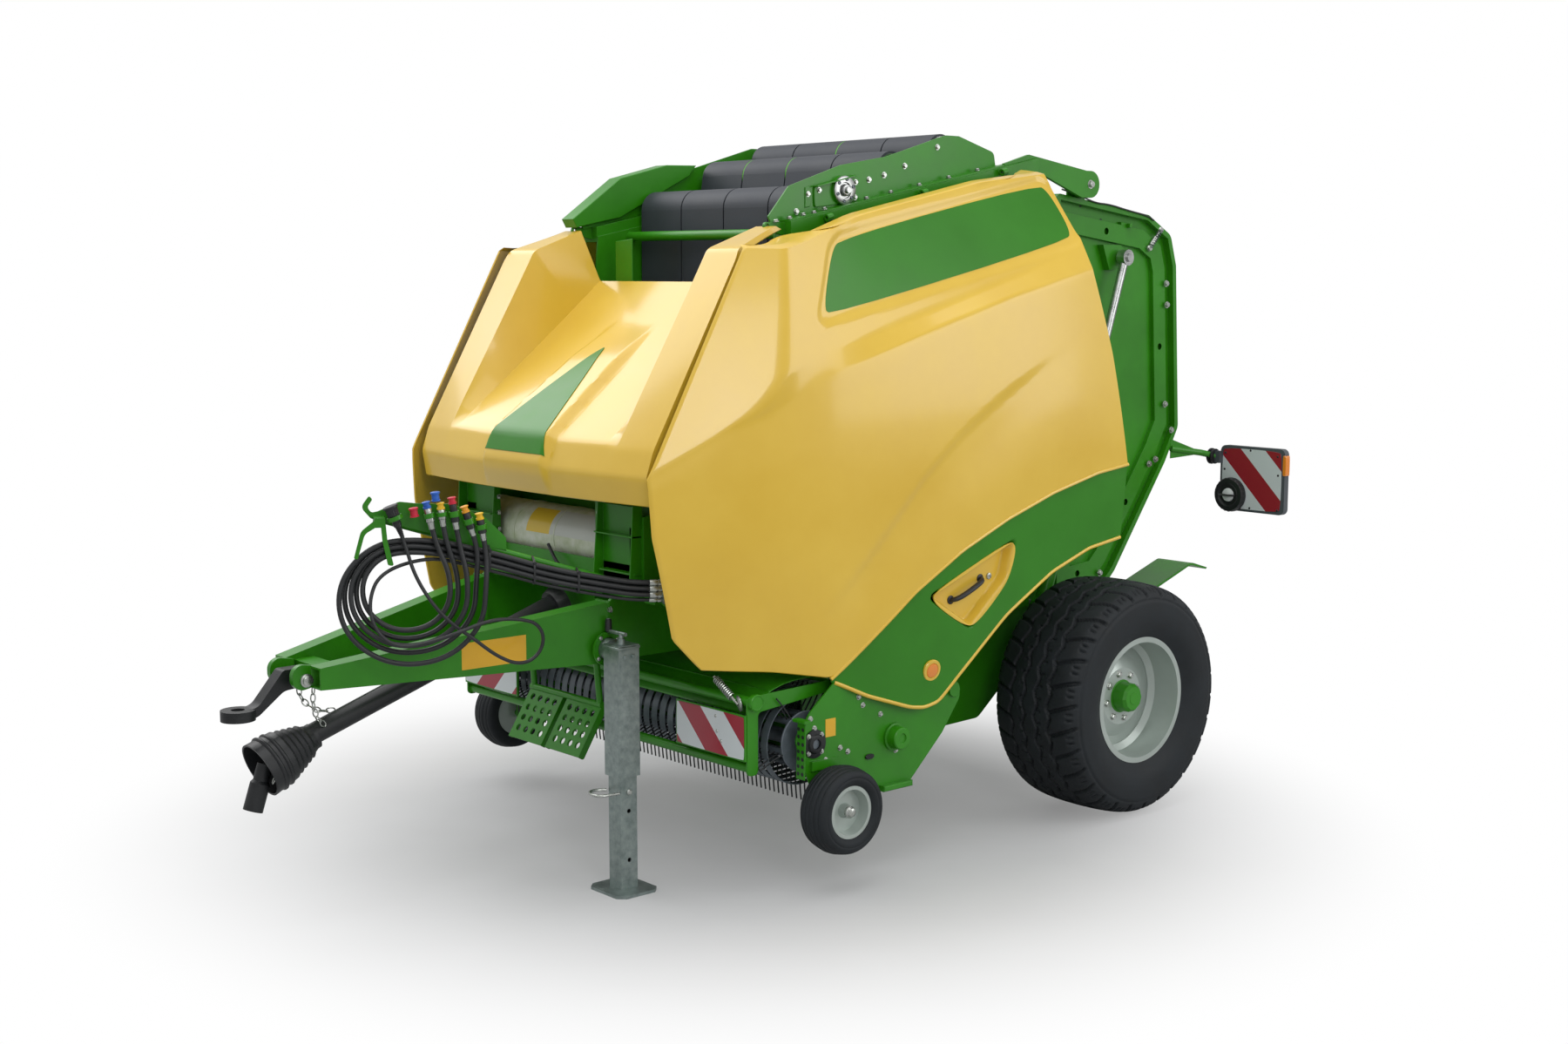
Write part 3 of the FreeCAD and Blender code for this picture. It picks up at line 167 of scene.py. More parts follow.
def finish(name, base, roughness, metallic=0.0, ior=1.5, coat=0.0, specular=0.5, shades=None, bumps=(),
           softEdge=0.0, roughnessRange=0.06, blotch=0.35):
    # A finish: a base colour that drifts to the other shades in soft blotches (metres across),
    # and bumps as (size in metres, height in metres, kind of noise).
    material = bpy.data.materials.new(name)
    material.use_nodes = True
    tree = material.node_tree
    tree.nodes.clear()
    place = addNode(tree, "TexCoord").outputs["Object"]
    shades = shades or (base, base)
    cloud = addNode(tree, "TexNoise", values={"Scale": 1 / blotch, "Detail": 4.0, "Roughness": 0.6},
                    links={"Vector": place})
    ramp = addNode(tree, "ValToRGB", links={0: cloud.outputs[0]})
    ramp.color_ramp.elements[0].position, ramp.color_ramp.elements[1].position = 0.3, 0.7
    ramp.color_ramp.elements[0].color = linearColour(shades[0])
    ramp.color_ramp.elements[1].color = linearColour(shades[1])
    gloss = addNode(tree, "MapRange",
                    values={"From Min": 0.3, "From Max": 0.7, "To Min": roughness - roughnessRange,
                                              "To Max": roughness + roughnessRange},
                    links={"Value": cloud.outputs[0]})
    shader = addNode(tree, "BsdfPrincipled",
                     values={"Metallic": metallic, "IOR": ior, "Coat Weight": coat, "Coat Roughness": 0.12,
                             "Specular IOR Level": specular},
                     links={"Base Color": ramp.outputs[0], "Roughness": gloss.outputs[0]})
    normal = None
    if softEdge:
        # hard edges catch the light as if rounded by this radius
        normal = addNode(tree, "Bevel", values={"Radius": softEdge}, samples=4).outputs[0]
    for size, height, kind in bumps:
        if kind == "Voronoi":
            grain = addNode(tree, "TexVoronoi", values={"Scale": 1 / size}, links={"Vector": place})
        else:
            grain = addNode(tree, "TexNoise", values={"Scale": 1 / size, "Detail": 2.0},
                            links={"Vector": place})
        links = {"Height": grain.outputs[0]}
        if normal:
            links["Normal"] = normal
        normal = addNode(tree, "Bump", values={"Distance": height, "Strength": 1.0}, links=links).outputs[0]
    if normal:
        tree.links.new(normal, shader.inputs["Normal"])
    addNode(tree, "OutputMaterial", links={"Surface": shader.outputs[0]})
    materials[name] = material
    return material


# Thermoformed ASA/ABS covers: a glossy through-coloured sheet, very slightly wavy over its mould
finish("glossCoverYellow", "#DEB738", 0.34, coat=0.6, shades=("#DBB334", "#E1BB3C"),
       bumps=[(0.3, 0.0006, "Noise"), (0.004, 0.00003, "Noise")])
# Printed green film on the covers: smoother than the plastic below it
finish("glossFilmGreen", "#2B7A06", 0.34, coat=0.1, specular=0.35, shades=("#297505", "#2D7F08"),
       bumps=[(0.3, 0.0006, "Noise")])
# Powder coat on welded sheet steel: even gloss with a faint orange peel about 4 mm across
finish("powderCoatGreen", "#2C8006", 0.36, coat=0.1, specular=0.4, shades=("#287705", "#308908"),
       softEdge=0.003,
       bumps=[(0.3, 0.0008, "Noise"), (0.004, 0.00005, "Noise")])
# Vulcanised tyre rubber: matt black with a dusty bloom
finish("tyreRubber", "#1C2124", 0.62, specular=0.32, shades=("#181C1F", "#22272B"), blotch=0.12,
       bumps=[(0.006, 0.0002, "Noise")])
# Silver wheel lacquer: fine aluminium flake
finish("wheelSilver", "#AEB8B2", 0.36, metallic=0.4, coat=0.3, shades=("#A7B1AB", "#B5BFB9"),
       bumps=[(0.003, 0.00004, "Noise")])
# Hot-dip galvanised steel: grey zinc with crystal spangle about 12 mm across
finish("galvanisedSteel", "#8E9B98", 0.42, metallic=0.85, shades=("#7F8C89", "#A3AEAB"), blotch=0.03,
       roughnessRange=0.1, bumps=[(0.012, 0.0002, "Voronoi")])
# Zinc plated bolts and fittings
finish("zincPlate", "#B9BDB8", 0.28, metallic=0.9, shades=("#A9ADA8", "#C6C9C4"), blotch=0.02)
# Machined bearing steel
finish("machinedSteel", "#B4B6B4", 0.3, metallic=1.0, shades=("#A2A4A3", "#C4C6C4"), blotch=0.05)
# Dark painted spring steel of the stripper bands
finish("darkSteel", "#626B73", 0.38, metallic=0.3, coat=0.2, shades=("#565F66", "#6F7880"), blotch=0.08,
       bumps=[(0.004, 0.00005, "Noise")])
# Spring steel tines
finish("tineSteel", "#5E6468", 0.35, metallic=0.9, shades=("#4E5458", "#72787B"), blotch=0.05)
# Woven rubber belting: slate grey with a fabric print
finish("beltRubber", "#33373F", 0.55, specular=0.45, shades=("#2F333A", "#393D45"), blotch=0.3,
       bumps=[(0.004, 0.0003, "Noise")])
# Cast steel, painted black; the same black also serves the discs and the block that stand for holes and a
# slot, as painted shade
finish("castBlack", "#1E2022", 0.45, metallic=0.2, shades=("#191B1D", "#26282A"), blotch=0.05,
       bumps=[(0.006, 0.0004, "Noise")])
# Moulded black polypropylene
finish("blackPlastic", "#1C1E20", 0.42, shades=("#191B1D", "#232527"), bumps=[(0.002, 0.00006, "Noise")])
# Hydraulic hose: black cover rubber
finish("hoseRubber", "#1F2123", 0.45, shades=("#1B1D1F", "#282A2C"), blotch=0.05,
       bumps=[(0.003, 0.0001, "Noise")])
# Whitish film round the roll of net
finish("netFilm", "#C6CDB4", 0.35, coat=0.3, shades=("#B6C19E", "#D6DACB"), blotch=0.05,
       bumps=[(0.012, 0.0009, "Noise")])
# Moulded grey polypropylene of the rear light boards
finish("boardFrame", "#4A5055", 0.5, shades=("#43494E", "#52585D"), bumps=[(0.003, 0.0001, "Noise")])
# Clear acrylic over white: the round lamp's lens
finish("boardWhite", "#D8DCDD", 0.4, coat=0.3)
# Moulded red acrylic: smooth and deep in colour
finish("signalRed", "#9B1C30", 0.3, coat=0.5)
# Moulded amber acrylic: smoother still, with a bright highlight
finish("amberLens", "#E8882A", 0.15, coat=0.8)
# Moulded dust caps: bright, slightly soft plastic
finish("capYellow", "#E2B41C", 0.4, shades=("#D9AA18", "#EBC12A"), blotch=0.02)
finish("capOrange", "#E09A1E", 0.4, shades=("#D68F18", "#E8A62A"), blotch=0.02)
finish("capRed", "#C41E3A", 0.4, shades=("#B51A34", "#D0253F"), blotch=0.02)
finish("capBlue", "#1F5BB8", 0.4, shades=("#1A50A6", "#2767C6"), blotch=0.02)
# Paper and film labels, left blank
finish("labelYellow", "#E0BE34", 0.4, coat=0.3)
finish("labelGrey", "#C3C7C0", 0.4, coat=0.3)
finish("labelAmber", "#E0AC1E", 0.35, coat=0.3)
# Green rings between the belts: the rollers' green powder coat made lighter and rougher, a painted highlight
# for their lit crests
finish("ringGreenPaintedHighlight", "#4C9A1C", 0.55, shades=("#448E17", "#54A423"), blotch=0.05)
print("materials made")

nodeFinish = {
    "powderCoatGreen": [
        "axle_beam", "lower_frame", "drawbar", "gearbox", "hinge_arms", "tower_crossbars", "net_box",
        "tailgate_frame", "cylinder_barrels", "bale_ramp", "pickup_frame", "crop_guard", "access_step",
        "hose_holder", "warning_boards", "chamber_wall_left", "chamber_wall_right", "belt_tower_left",
                        "belt_tower_right",
        "tailgate_plate_left", "tailgate_plate_right"],
    "wheelSilver": ["rim_left", "rim_right", "gauge_rim_left", "gauge_rim_right"],
    "tyreRubber": ["gauge_tyre_left", "gauge_tyre_right"],
    "galvanisedSteel": ["jack_case", "jack_leg", "cylinder_pins", "hose_manifold"],
    "blackPlastic": ["shaft_guard", "hose_couplers"],
    "castBlack": ["hitch_eye", "drive_yoke"],
    "darkSteel": ["stripper_bands"],
    "tineSteel": ["tine_reel", "feed_rotor"],
    "machinedSteel": ["belt_rollers", "tailgate_rollers", "cylinder_rods"],
    "beltRubber": ["front_belts", "tailgate_belts"],
    "netFilm": ["net_roll"],
    "boardFrame": ["light_boards"],
}
for finishName, nodeNames in nodeFinish.items():
    for nodeName in nodeNames:
        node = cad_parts[nodeName]
        node.data.materials.clear()
        node.data.materials.append(materials[finishName])
print("frame nodes finished")

# ---- shapes: a shape is its points and a list of face tables ----


def gridFaces(rows, columns, wrapRows=False, wrapColumns=False):
    # quads between neighbouring points of a grid, and over the seam where it wraps
    i = np.arange(rows if wrapRows else rows - 1)[:, None]
    j = np.arange(columns if wrapColumns else columns - 1)[None, :]
    below, beside = (i + 1) % rows, (j + 1) % columns
    return np.stack([i * columns + j, below * columns + j, below * columns + beside, i * columns + beside],
                    -1).reshape(-1, 4)


def gridShape(points, wrapRows=False, wrapColumns=False, caps=False):
    rows, columns = points.shape[:2]
    faces = [gridFaces(rows, columns, wrapRows, wrapColumns)]
    if caps:
        ring = np.arange(columns)
        faces.append(np.stack([ring[::-1], ring + (rows - 1) * columns]))
    return points.reshape(-1, 3), faces


def joinShapes(shapes):
    # one shape: the points one after the other, the face tables counted on
    points, faces, count = [], [], 0
    for shapePoints, shapeFaces in shapes:
        points.append(shapePoints)
        faces += [table + count for table in shapeFaces]
        count += len(shapePoints)
    return np.concatenate(points), faces


def copies(shape, places):
    # the shape again at each place
    points, faces = shape
    places = np.asarray(places, float)
    steps = np.arange(len(places)) * len(points)
    moved = (points[None] + places[:, None]).reshape(-1, 3)
    return moved, [(table[None] + steps[:, None, None]).reshape(-1, table.shape[1]) for table in faces]


def mirrorShape(shape):
    points, faces = shape
    return points * [-1, 1, 1], [table[:, ::-1] for table in faces]


def bothSides(shape):
    return joinShapes([shape, mirrorShape(shape)])


def cutCorners(points, passes=3, closed=False):
    # corner cutting: each pass puts points at a quarter and three quarters of every run
    points = np.asarray(points, float)
    for _ in range(passes):
        ahead = np.roll(points, -1, 0) if closed else points[1:]
        here = points if closed else points[:-1]
        cut = np.stack([0.75 * here + 0.25 * ahead, 0.25 * here + 0.75 * ahead], 1)
        cut = cut.reshape(-1, points.shape[1])
        points = cut if closed else np.concatenate([points[:1], cut, points[-1:]])
    return points


def spaceEvenly(points, count, closed=False):
    # the same line with points at equal steps of its length
    points = np.concatenate([points, points[:1]]) if closed else points
    length = np.concatenate([[0], np.cumsum(np.linalg.norm(np.diff(points, axis=0), axis=1))])
    share = np.linspace(0, length[-1], count, endpoint=not closed)
    return np.stack([np.interp(share, length, points[:, k]) for k in range(points.shape[1])], -1)


def unit(vectors):
    return vectors / np.linalg.norm(vectors, axis=-1, keepdims=True)


def crossAxes(axis):
    # two unit vectors across an axis
    axis = unit(np.asarray(axis, float))
    helper = np.array([0, 0, 1.0]) if abs(axis[2]) < 0.9 else np.array([0, 1.0, 0])
    first = unit(np.cross(helper, axis))
    return axis, first, np.cross(axis, first)


def revolve(profile, centre, axis=(1, 0, 0), steps=48, closed=False, wave=None):
    # a profile of (distance along the axis, radius) carried round: centre + d axis + r (cos, sin),
    # with r times wave(d, angle) where there is one
    axis, first, second = crossAxes(axis)
    profile = np.asarray(profile, float)
    angle = np.linspace(0, 2 * np.pi, steps, endpoint=False)[None, :, None]
    around = np.cos(angle) * first + np.sin(angle) * second
    radius = profile[:, None, 1:] * (1.0 if wave is None else wave(profile[:, None, :1], angle))
    points = np.asarray(centre) + profile[:, None, :1] * axis + radius * around
    return gridShape(points, wrapRows=closed, wrapColumns=True)


def sweep(path, section, up=(0, 0, 1), closed=False, scale=None):
    # a flat section carried along a path, square to its direction and level with up
    path, section = np.asarray(path, float), np.asarray(section, float)
    ahead = unit(np.roll(path, -1, 0) - np.roll(path, 1, 0) if closed else np.gradient(path, axis=0))
    side = unit(np.cross(ahead, np.asarray(up, float)))
    top = np.cross(side, ahead)
    grown = np.ones(len(path)) if scale is None else np.asarray(scale, float)
    points = (path[:, None] + (side[:, None] * section[None, :, :1] + top[:, None] * section[None, :, 1:])
              * grown[:, None, None])
    return gridShape(points, wrapRows=closed, wrapColumns=True, caps=not closed)


def circle(radius, sides=12):
    angle = np.linspace(0, 2 * np.pi, sides, endpoint=False)
    return np.stack([np.cos(angle), np.sin(angle)], -1) * radius


def tube(path, radius, sides=12, up=(0, 0, 1), passes=3):
    return sweep(cutCorners(path, passes), circle(radius, sides), up)


def inset(outline, distance):
    # the outline's corners moved inward square to both their edges (outline runs counterclockwise)
    before = unit(outline - np.roll(outline, 1, 0))
    after = unit(np.roll(outline, -1, 0) - outline)
    inward = np.stack([-before[:, 1] - after[:, 1], before[:, 0] + after[:, 0]], -1)
    reach = distance / np.maximum(1 + np.sum(before * after, 1), 0.25)
    return outline + inward * reach[:, None]


def roundCorner(corners, k, reach):
    # two points that cut one corner of an outline at this reach along its sides
    here = corners[k]
    back, ahead = unit(corners[k - 1] - here), unit(corners[(k + 1) % len(corners)] - here)
    return np.stack([here + back * reach, here + ahead * reach])


def roundedOutline(corners, reach):
    # an outline whose corners are cut at this reach and then smoothed
    corners = np.asarray(corners, float)
    return cutCorners(np.concatenate([roundCorner(corners, k, reach) for k in range(len(corners))]), 2, True)


def slab(outline, axis, low, high, edge=0.002):
    # a flat plate across x, y or z between two levels, its edges broken by a small chamfer
    outline = np.asarray(outline, float)
    area = np.sum(outline[:, 0] * np.roll(outline[:, 1], -1) - outline[:, 1] * np.roll(outline[:, 0], -1))
    outline = outline if area > 0 else outline[::-1]
    thin = inset(outline, edge)
    rings = [(thin, low), (outline, low + edge), (outline, high - edge), (thin, high)]
    flat = np.stack([np.column_stack([ring, np.full(len(ring), level)]) for ring, level in rings])
    order = {"x": [2, 0, 1], "y": [0, 2, 1], "z": [0, 1, 2]}[axis]
    return gridShape(flat[..., order], wrapColumns=True, caps=True)


def shell(outer, thickness, inward=None):
    # a closed wall: the grid, the same grid moved inward, and a rounded rim between their borders
    if inward is None:
        down, across = np.gradient(outer, axis=0), np.gradient(outer, axis=1)
        inward = -unit(np.cross(down, across))
    inner = outer + inward * thickness
    rows, columns = outer.shape[:2]
    count = rows * columns
    near = gridFaces(rows, columns)
    number = np.arange(count).reshape(rows, columns)
    border = np.concatenate([number[0, :-1], number[:-1, -1], number[-1, :0:-1], number[:0:-1, 0]])
    middle = (outer.reshape(-1, 3)[border] + inner.reshape(-1, 3)[border]) / 2
    step = np.concatenate([outer[0, :-1] - outer[1, :-1], outer[:-1, -1] - outer[:-1, -2],
                           outer[-1, :0:-1] - outer[-2, :0:-1], outer[:0:-1, 0] - outer[:0:-1, 1]])
    middle = middle + unit(step) * thickness * 0.4
    rim = np.arange(len(border)) + 2 * count
    following, rimNext = np.roll(border, -1), np.roll(rim, -1)
    sides = [np.stack([border, following, rimNext, rim], -1),
             np.stack([rim, rimNext, following + count, border + count], -1)]
    points = np.concatenate([outer.reshape(-1, 3), inner.reshape(-1, 3), middle])
    return points, [near, near[:, ::-1] + count] + sides


def makePiece(name, shape, finishName, body, sharpAngle=40, replaced=()):
    # a mesh object from a shape: doubles merged, faces turned outward, and hard edges above the angle
    points, faces = shape
    mesh = bpy.data.meshes.new(name)
    mesh.from_pydata(points.tolist(), [], [face for table in faces for face in table.tolist()])
    work = bmesh.new()
    work.from_mesh(mesh)
    bmesh.ops.remove_doubles(work, verts=work.verts, dist=1e-6)
    bmesh.ops.recalc_face_normals(work, faces=work.faces)
    if work.calc_volume(signed=True) < 0:
        bmesh.ops.reverse_faces(work, faces=work.faces)
    work.to_mesh(mesh)
    work.free()
    mesh.materials.append(materials[finishName])
    mesh.shade_smooth()
    mesh.set_sharp_from_angle(angle=math.radians(sharpAngle))
    piece = bpy.data.objects.new(name, mesh)
    bpy.context.scene.collection.objects.link(piece)
    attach(piece, body)
    if replaced:
        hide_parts(*replaced)
    return piece


def makePair(name, shape, finishName, body, sharpAngle=40):
    # the left-hand shape and its mirror as one piece
    makePiece(name, bothSides(shape), finishName, body, sharpAngle=sharpAngle)


def makeEachSide(name, shape, finishName, body, sharpAngle=40, replaced=None):
    # the left-hand shape on the left body, and its mirror on the right one
    for side, sideShape in (("_left", shape), ("_right", mirrorShape(shape))):
        makePiece(name + side, sideShape, finishName, body + side, sharpAngle,
                  [replaced + side] if replaced else ())


# ---- supply lines: five hoses and a cable, looped over the holder and tied along its stay ----

supply = {
    "stayStart": (0.700, -1.060),
    "stayAhead": (-0.42, -0.9075),
    "stayFoot": 1.215,                 # height of the stay at its foot, and its rise per metre
    "stayRise": 0.310,
    "hoseRadius": 0.010,
    "cableRadius": 0.007,
    # (along, out, up) from each coupler round its loop
    "loops": [
        [(0.656, 0.079, 1.466), (0.644, 0.079, 1.393), (0.650, 0.102, 1.292), (0.666, 0.102, 1.127),
         (0.811, 0.102, 0.998), (1.026, 0.097, 0.992), (1.186, 0.080, 1.119), (1.201, 0.062, 1.309),
         (1.063, 0.052, 1.455)],
        [(0.697, 0.079, 1.485), (0.676, 0.079, 1.414), (0.684, 0.079, 1.307), (0.696, 0.079, 1.152),
         (0.827, 0.079, 1.038), (1.021, 0.074, 1.032), (1.165, 0.056, 1.145), (1.178, 0.037, 1.314),
         (1.054, 0.027, 1.444)],
        [(0.757, 0.079, 1.512), (0.747, 0.079, 1.439), (0.718, 0.102, 1.317), (0.727, 0.102, 1.171),
         (0.843, 0.102, 1.068), (1.016, 0.097, 1.063), (1.144, 0.080, 1.165), (1.156, 0.062, 1.317),
         (1.045, 0.052, 1.434)],
        [(0.806, 0.079, 1.525), (0.797, 0.079, 1.452), (0.752, 0.079, 1.323), (0.757, 0.079, 1.185),
         (0.859, 0.079, 1.092), (1.010, 0.074, 1.087), (1.123, 0.056, 1.179), (1.133, 0.037, 1.317),
         (1.036, 0.027, 1.422)],
        [(0.849, 0.079, 1.516), (0.834, 0.079, 1.444), (0.785, 0.102, 1.331), (0.788, 0.102, 1.208),
         (0.875, 0.102, 1.127), (1.005, 0.097, 1.123), (1.102, 0.080, 1.203), (1.111, 0.062, 1.321),
         (1.027, 0.052, 1.412)],
    ],
    # (along, up) of the hoses along the stay, each hose lower than the one before
    "bundle": [(0.860, 1.437), (0.640, 1.381), (0.400, 1.302), (0.180, 1.256), (0.050, 1.232),
               (-0.035, 1.232)],
    "bundleOut": (0.052, 0.027),
    "bundleTop": 0.024,
    "bundleStep": 0.012,
    "lengths": (2.421, 2.306, 2.217, 2.123, 1.993),
    "cableRoute": [
        (0.972, 0.079, 1.516), (0.948, 0.079, 1.449), (0.920, 0.112, 1.335), (0.855, 0.138, 1.220),
        (0.780, 0.141, 1.140), (0.705, 0.131, 1.085), (0.655, 0.112, 1.040), (0.602, 0.090, 1.000),
        (0.540, 0.060, 0.967), (0.480, 0.038, 0.967), (0.434, 0.026, 1.006), (0.423, 0.030, 1.065),
        (0.453, 0.044, 1.117), (0.510, 0.068, 1.138), (0.580, 0.100, 1.150), (0.655, 0.136, 1.150),
        (0.740, 0.166, 1.128), (0.860, 0.166, 1.087), (0.985, 0.138, 1.062), (1.070, 0.120, 1.130),
        (1.090, 0.098, 1.240), (1.040, 0.064, 1.345), (0.860, 0.039, 1.391), (0.725, 0.039, 1.358),
        (0.580, 0.039, 1.315), (0.430, 0.039, 1.266), (0.280, 0.039, 1.231), (0.150, 0.039, 1.202),
        (0.040, 0.039, 1.186), (-0.035, 0.039, 1.186)],
    "cableLength": 2.987,
    # couplers and plug: (along, up) of the top and of the end that the line leaves, the cap's colour
    "couplerOut": 0.079,
    "couplers": [
        ((0.671, 1.556), (0.656, 1.466), "capYellow", "blackPlastic"),
        ((0.727, 1.584), (0.697, 1.485), "capOrange", "blackPlastic"),
        ((0.772, 1.619), (0.757, 1.512), "capRed", "blackPlastic"),
        ((0.815, 1.600), (0.806, 1.525), "capYellow", "zincPlate"),
        ((0.868, 1.605), (0.849, 1.516), "capBlue", "zincPlate"),
    ],
    "parkedCaps": [((0.914, 1.583), (0.907, 1.536), "capRed"), ((0.832, 1.640), (0.829, 1.606), "capBlue")],
    "plug": ((1.000, 1.593), (0.972, 1.516)),
    "ties": (0.630, 0.460, 0.290),
}


def byStay(points):
    # (along the stay, out from it, up) to the frame
    along, out, up = np.moveaxis(np.asarray(points, float), -1, 0)
    (x, y), (ahead, across) = supply["stayStart"], supply["stayAhead"]
    return np.stack([x + along * ahead - out * across, y + along * across + out * ahead, up], -1)


def turned(profile, start, end, steps=28, wave=None):
    # a profile of (distance from the start, radius) turned about the line from start to end
    return revolve(profile, start, np.subtract(end, start), steps, wave=wave)


def makeCord(name, route, radius, replaced, pieces):
    # the route's points are the control points of one smooth spline, from the manifold to the far end
    curve = bpy.data.curves.new(name, "CURVE")
    curve.dimensions = "3D"
    curve.bevel_depth = radius
    curve.bevel_resolution = 5
    curve.use_fill_caps = True
    spline = curve.splines.new("NURBS")
    spline.points.add(len(route) - 1)
    spline.points.foreach_set("co", np.column_stack([route, np.ones(len(route))]).ravel())
    spline.order_u = 3
    spline.use_endpoint_u = True
    spline.resolution_u = 10
    curve.materials.append(materials["hoseRubber"])
    cord = bpy.data.objects.new(name, curve)
    bpy.context.scene.collection.objects.link(cord)
    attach(cord, "chassis")
    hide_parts(replaced)


def couplerPieces(number, top, low, cap, sleeve):
    # a dust cap with a flared lid, a grip sleeve, and the crimped ferrule that the hose leaves
    start, end = [byStay((along, supply["couplerOut"], up)) for along, up in (top, low)]
    length = np.linalg.norm(end - start)
    capLine = [(0, 0), (0, 0.013), (0.0015, 0.0165), (0.005, 0.0165), (0.007, 0.012), (0.018, 0.0125),
               (0.019, 0.0155), (0.026, 0.0155), (0.027, 0.013), (0.027, 0)]
    grip = [(0.026, 0), (0.026, 0.0125), (0.030, 0.0148), (0.046, 0.0138), (length - 0.034, 0.0150),
            (length - 0.032, 0.0165), (length - 0.014, 0.0165), (length - 0.012, 0.0140),
            (length - 0.012, 0)]
    ferrule = [(length - 0.013, 0), (length - 0.013, 0.0128), (length - 0.004, 0.0128),
               (length - 0.002, 0.0118),
               (length + 0.014, 0.0118), (length + 0.016, 0.0106), (length + 0.016, 0.0095)]
    name = "coupler" + str(number + 1)
    shapes = [("Cap", capLine, cap, None),
              ("Sleeve", grip, sleeve, lobes(6, 0.05) if sleeve == "zincPlate" else None),
              ("Ferrule", ferrule, "zincPlate", None)]
    return [makePiece(name + part, turned(line, start, end, 36, wave), finishName, "chassis", sharpAngle=35)
            for part, line, finishName, wave in shapes]


def lobes(count, depth, low=-1.0, high=1.0):
    # flats or ribs round a turned piece between two distances: radius x (1 - depth |sin(count angle / 2)|)
    return lambda d, angle: 1 - depth * np.abs(np.sin(count * angle / 2)) * ((d > low) & (d < high))


def plugPieces():
    start, end = [byStay((along, supply["couplerOut"], up)) for along, up in supply["plug"]]
    length = np.linalg.norm(end - start)
    body = [(0, 0), (0, 0.026), (0.002, 0.029), (0.008, 0.029), (0.010, 0.024), (0.016, 0.024),
            (0.018, 0.0235),
            (0.040, 0.0225), (0.042, 0.021), (0.046, 0.021), (0.047, 0.0195), (0.066, 0.0150),
            (0.068, 0.0165),
            (length, 0.0150), (length, 0)]
    relief = [(length - 0.002, 0.0125), (length + 0.004, 0.0125)]
    for ring in range(7):
        d, r = length + 0.005 + 0.006 * ring, 0.0118 - 0.0006 * ring
        relief += [(d, r - 0.0018), (d + 0.0012, r), (d + 0.0042, r), (d + 0.0054, r - 0.0018)]
    relief += [(length + 0.048, 0.0075), (length + 0.048, 0.0065)]
    return [makePiece("plugBody", turned(body, start, end, 72, lobes(18, 0.07, 0.012, 0.066)),
                      "blackPlastic",
                      "chassis", sharpAngle=30),
            makePiece("plugRelief", turned(relief, start, end), "blackPlastic", "chassis", sharpAngle=35)]


def tieShape(along):
    # a strap drawn round the stay and the lines beside it, closed by a small head
    stay = supply["stayFoot"] + along * supply["stayRise"]
    heights = np.array(supply["bundle"])[::-1]
    middle = np.interp(along, heights[:, 0], heights[:, 1])
    loop = [(0.002, stay + 0.0155), (0.030, stay + 0.010), (0.060, middle + 0.031), (0.064, middle),
            (0.061, middle - 0.030), (0.050, middle - 0.050), (0.036, middle - 0.055),
            (0.024, middle - 0.050),
            (-0.010, stay - 0.022), (-0.0165, stay - 0.004), (-0.012, stay + 0.012)]
    path = cutCorners([byStay((along, out, up)) for out, up in loop], 3, closed=True)
    strap = sweep(path, [(-0.001, -0.004), (-0.001, 0.004), (0.001, 0.004), (0.001, -0.004)],
                  up=np.append(supply["stayAhead"], 0), closed=True)
    head = slab([(0.058, middle + 0.026), (0.068, middle + 0.026), (0.070, middle + 0.036),
                 (0.060, middle + 0.038)],
                "y", along - 0.006, along + 0.006)
    points = byStay(head[0][:, [1, 0, 2]])
    return joinShapes([strap, (points, head[1])])


def makeSupplyLines():
    couplers = [couplerPieces(k, *coupler) for k, coupler in enumerate(supply["couplers"])]
    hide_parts("hose_couplers")
    names = ("one", "two", "three", "four", "five")
    for k, (loop, pieces) in enumerate(zip(supply["loops"], couplers)):
        out, lift = supply["bundleOut"][k % 2], supply["bundleTop"] - supply["bundleStep"] * k
        route = byStay(loop + [(along, out, up + lift) for along, up in supply["bundle"]])[::-1]
        fitting = fittingPiece("hoseFitting" + str(k + 1), route, supply["hoseRadius"])
        makeCord("hoseLine" + str(k + 1), route, supply["hoseRadius"],
                 "hose_" + names[k], pieces + [fitting])
    route = byStay(supply["cableRoute"])[::-1]
    gland = fittingPiece("cableFitting", route, supply["cableRadius"])
    makeCord("cableLine", route, supply["cableRadius"],
             "electric_cable",
             plugPieces() + [gland])
    makePiece("lineTies", joinShapes([tieShape(along) for along in supply["ties"]]), "blackPlastic",
              "chassis")
    for number, (top, low, cap) in enumerate(supply["parkedCaps"]):
        start, end = byStay((top[0], 0.070, top[1])), byStay((low[0], 0.070, low[1]))
        makePiece("parkedCap" + str(number + 1),
                  turned([(0, 0), (0, 0.014), (0.002, 0.018), (0.008, 0.018), (0.010, 0.014),
                          (0.030, 0.0145),
                          (0.031, 0.017), (0.036, 0.017), (0.036, 0)], start, end), cap, "chassis",
                  sharpAngle=35)


def fittingPiece(name, route, radius):
    # nut, collar and crimped ferrule on the line's first stretch
    edge = [(0, radius), (0, radius + 0.0035), (0.013, radius + 0.0035), (0.014, radius + 0.001),
            (0.018, radius + 0.001), (0.019, radius + 0.003), (0.043, radius + 0.0025),
            (0.046, radius + 0.001),
            (0.046, radius - 0.001)]
    fitting = revolve(edge, route[0], route[1] - route[0], 48, wave=lobes(6, 0.09, -0.001, 0.0135))
    return makePiece(name, fitting, "zincPlate", "chassis", sharpAngle=35)


makeSupplyLines()
print("supply lines made")

# ---- side hoods ----

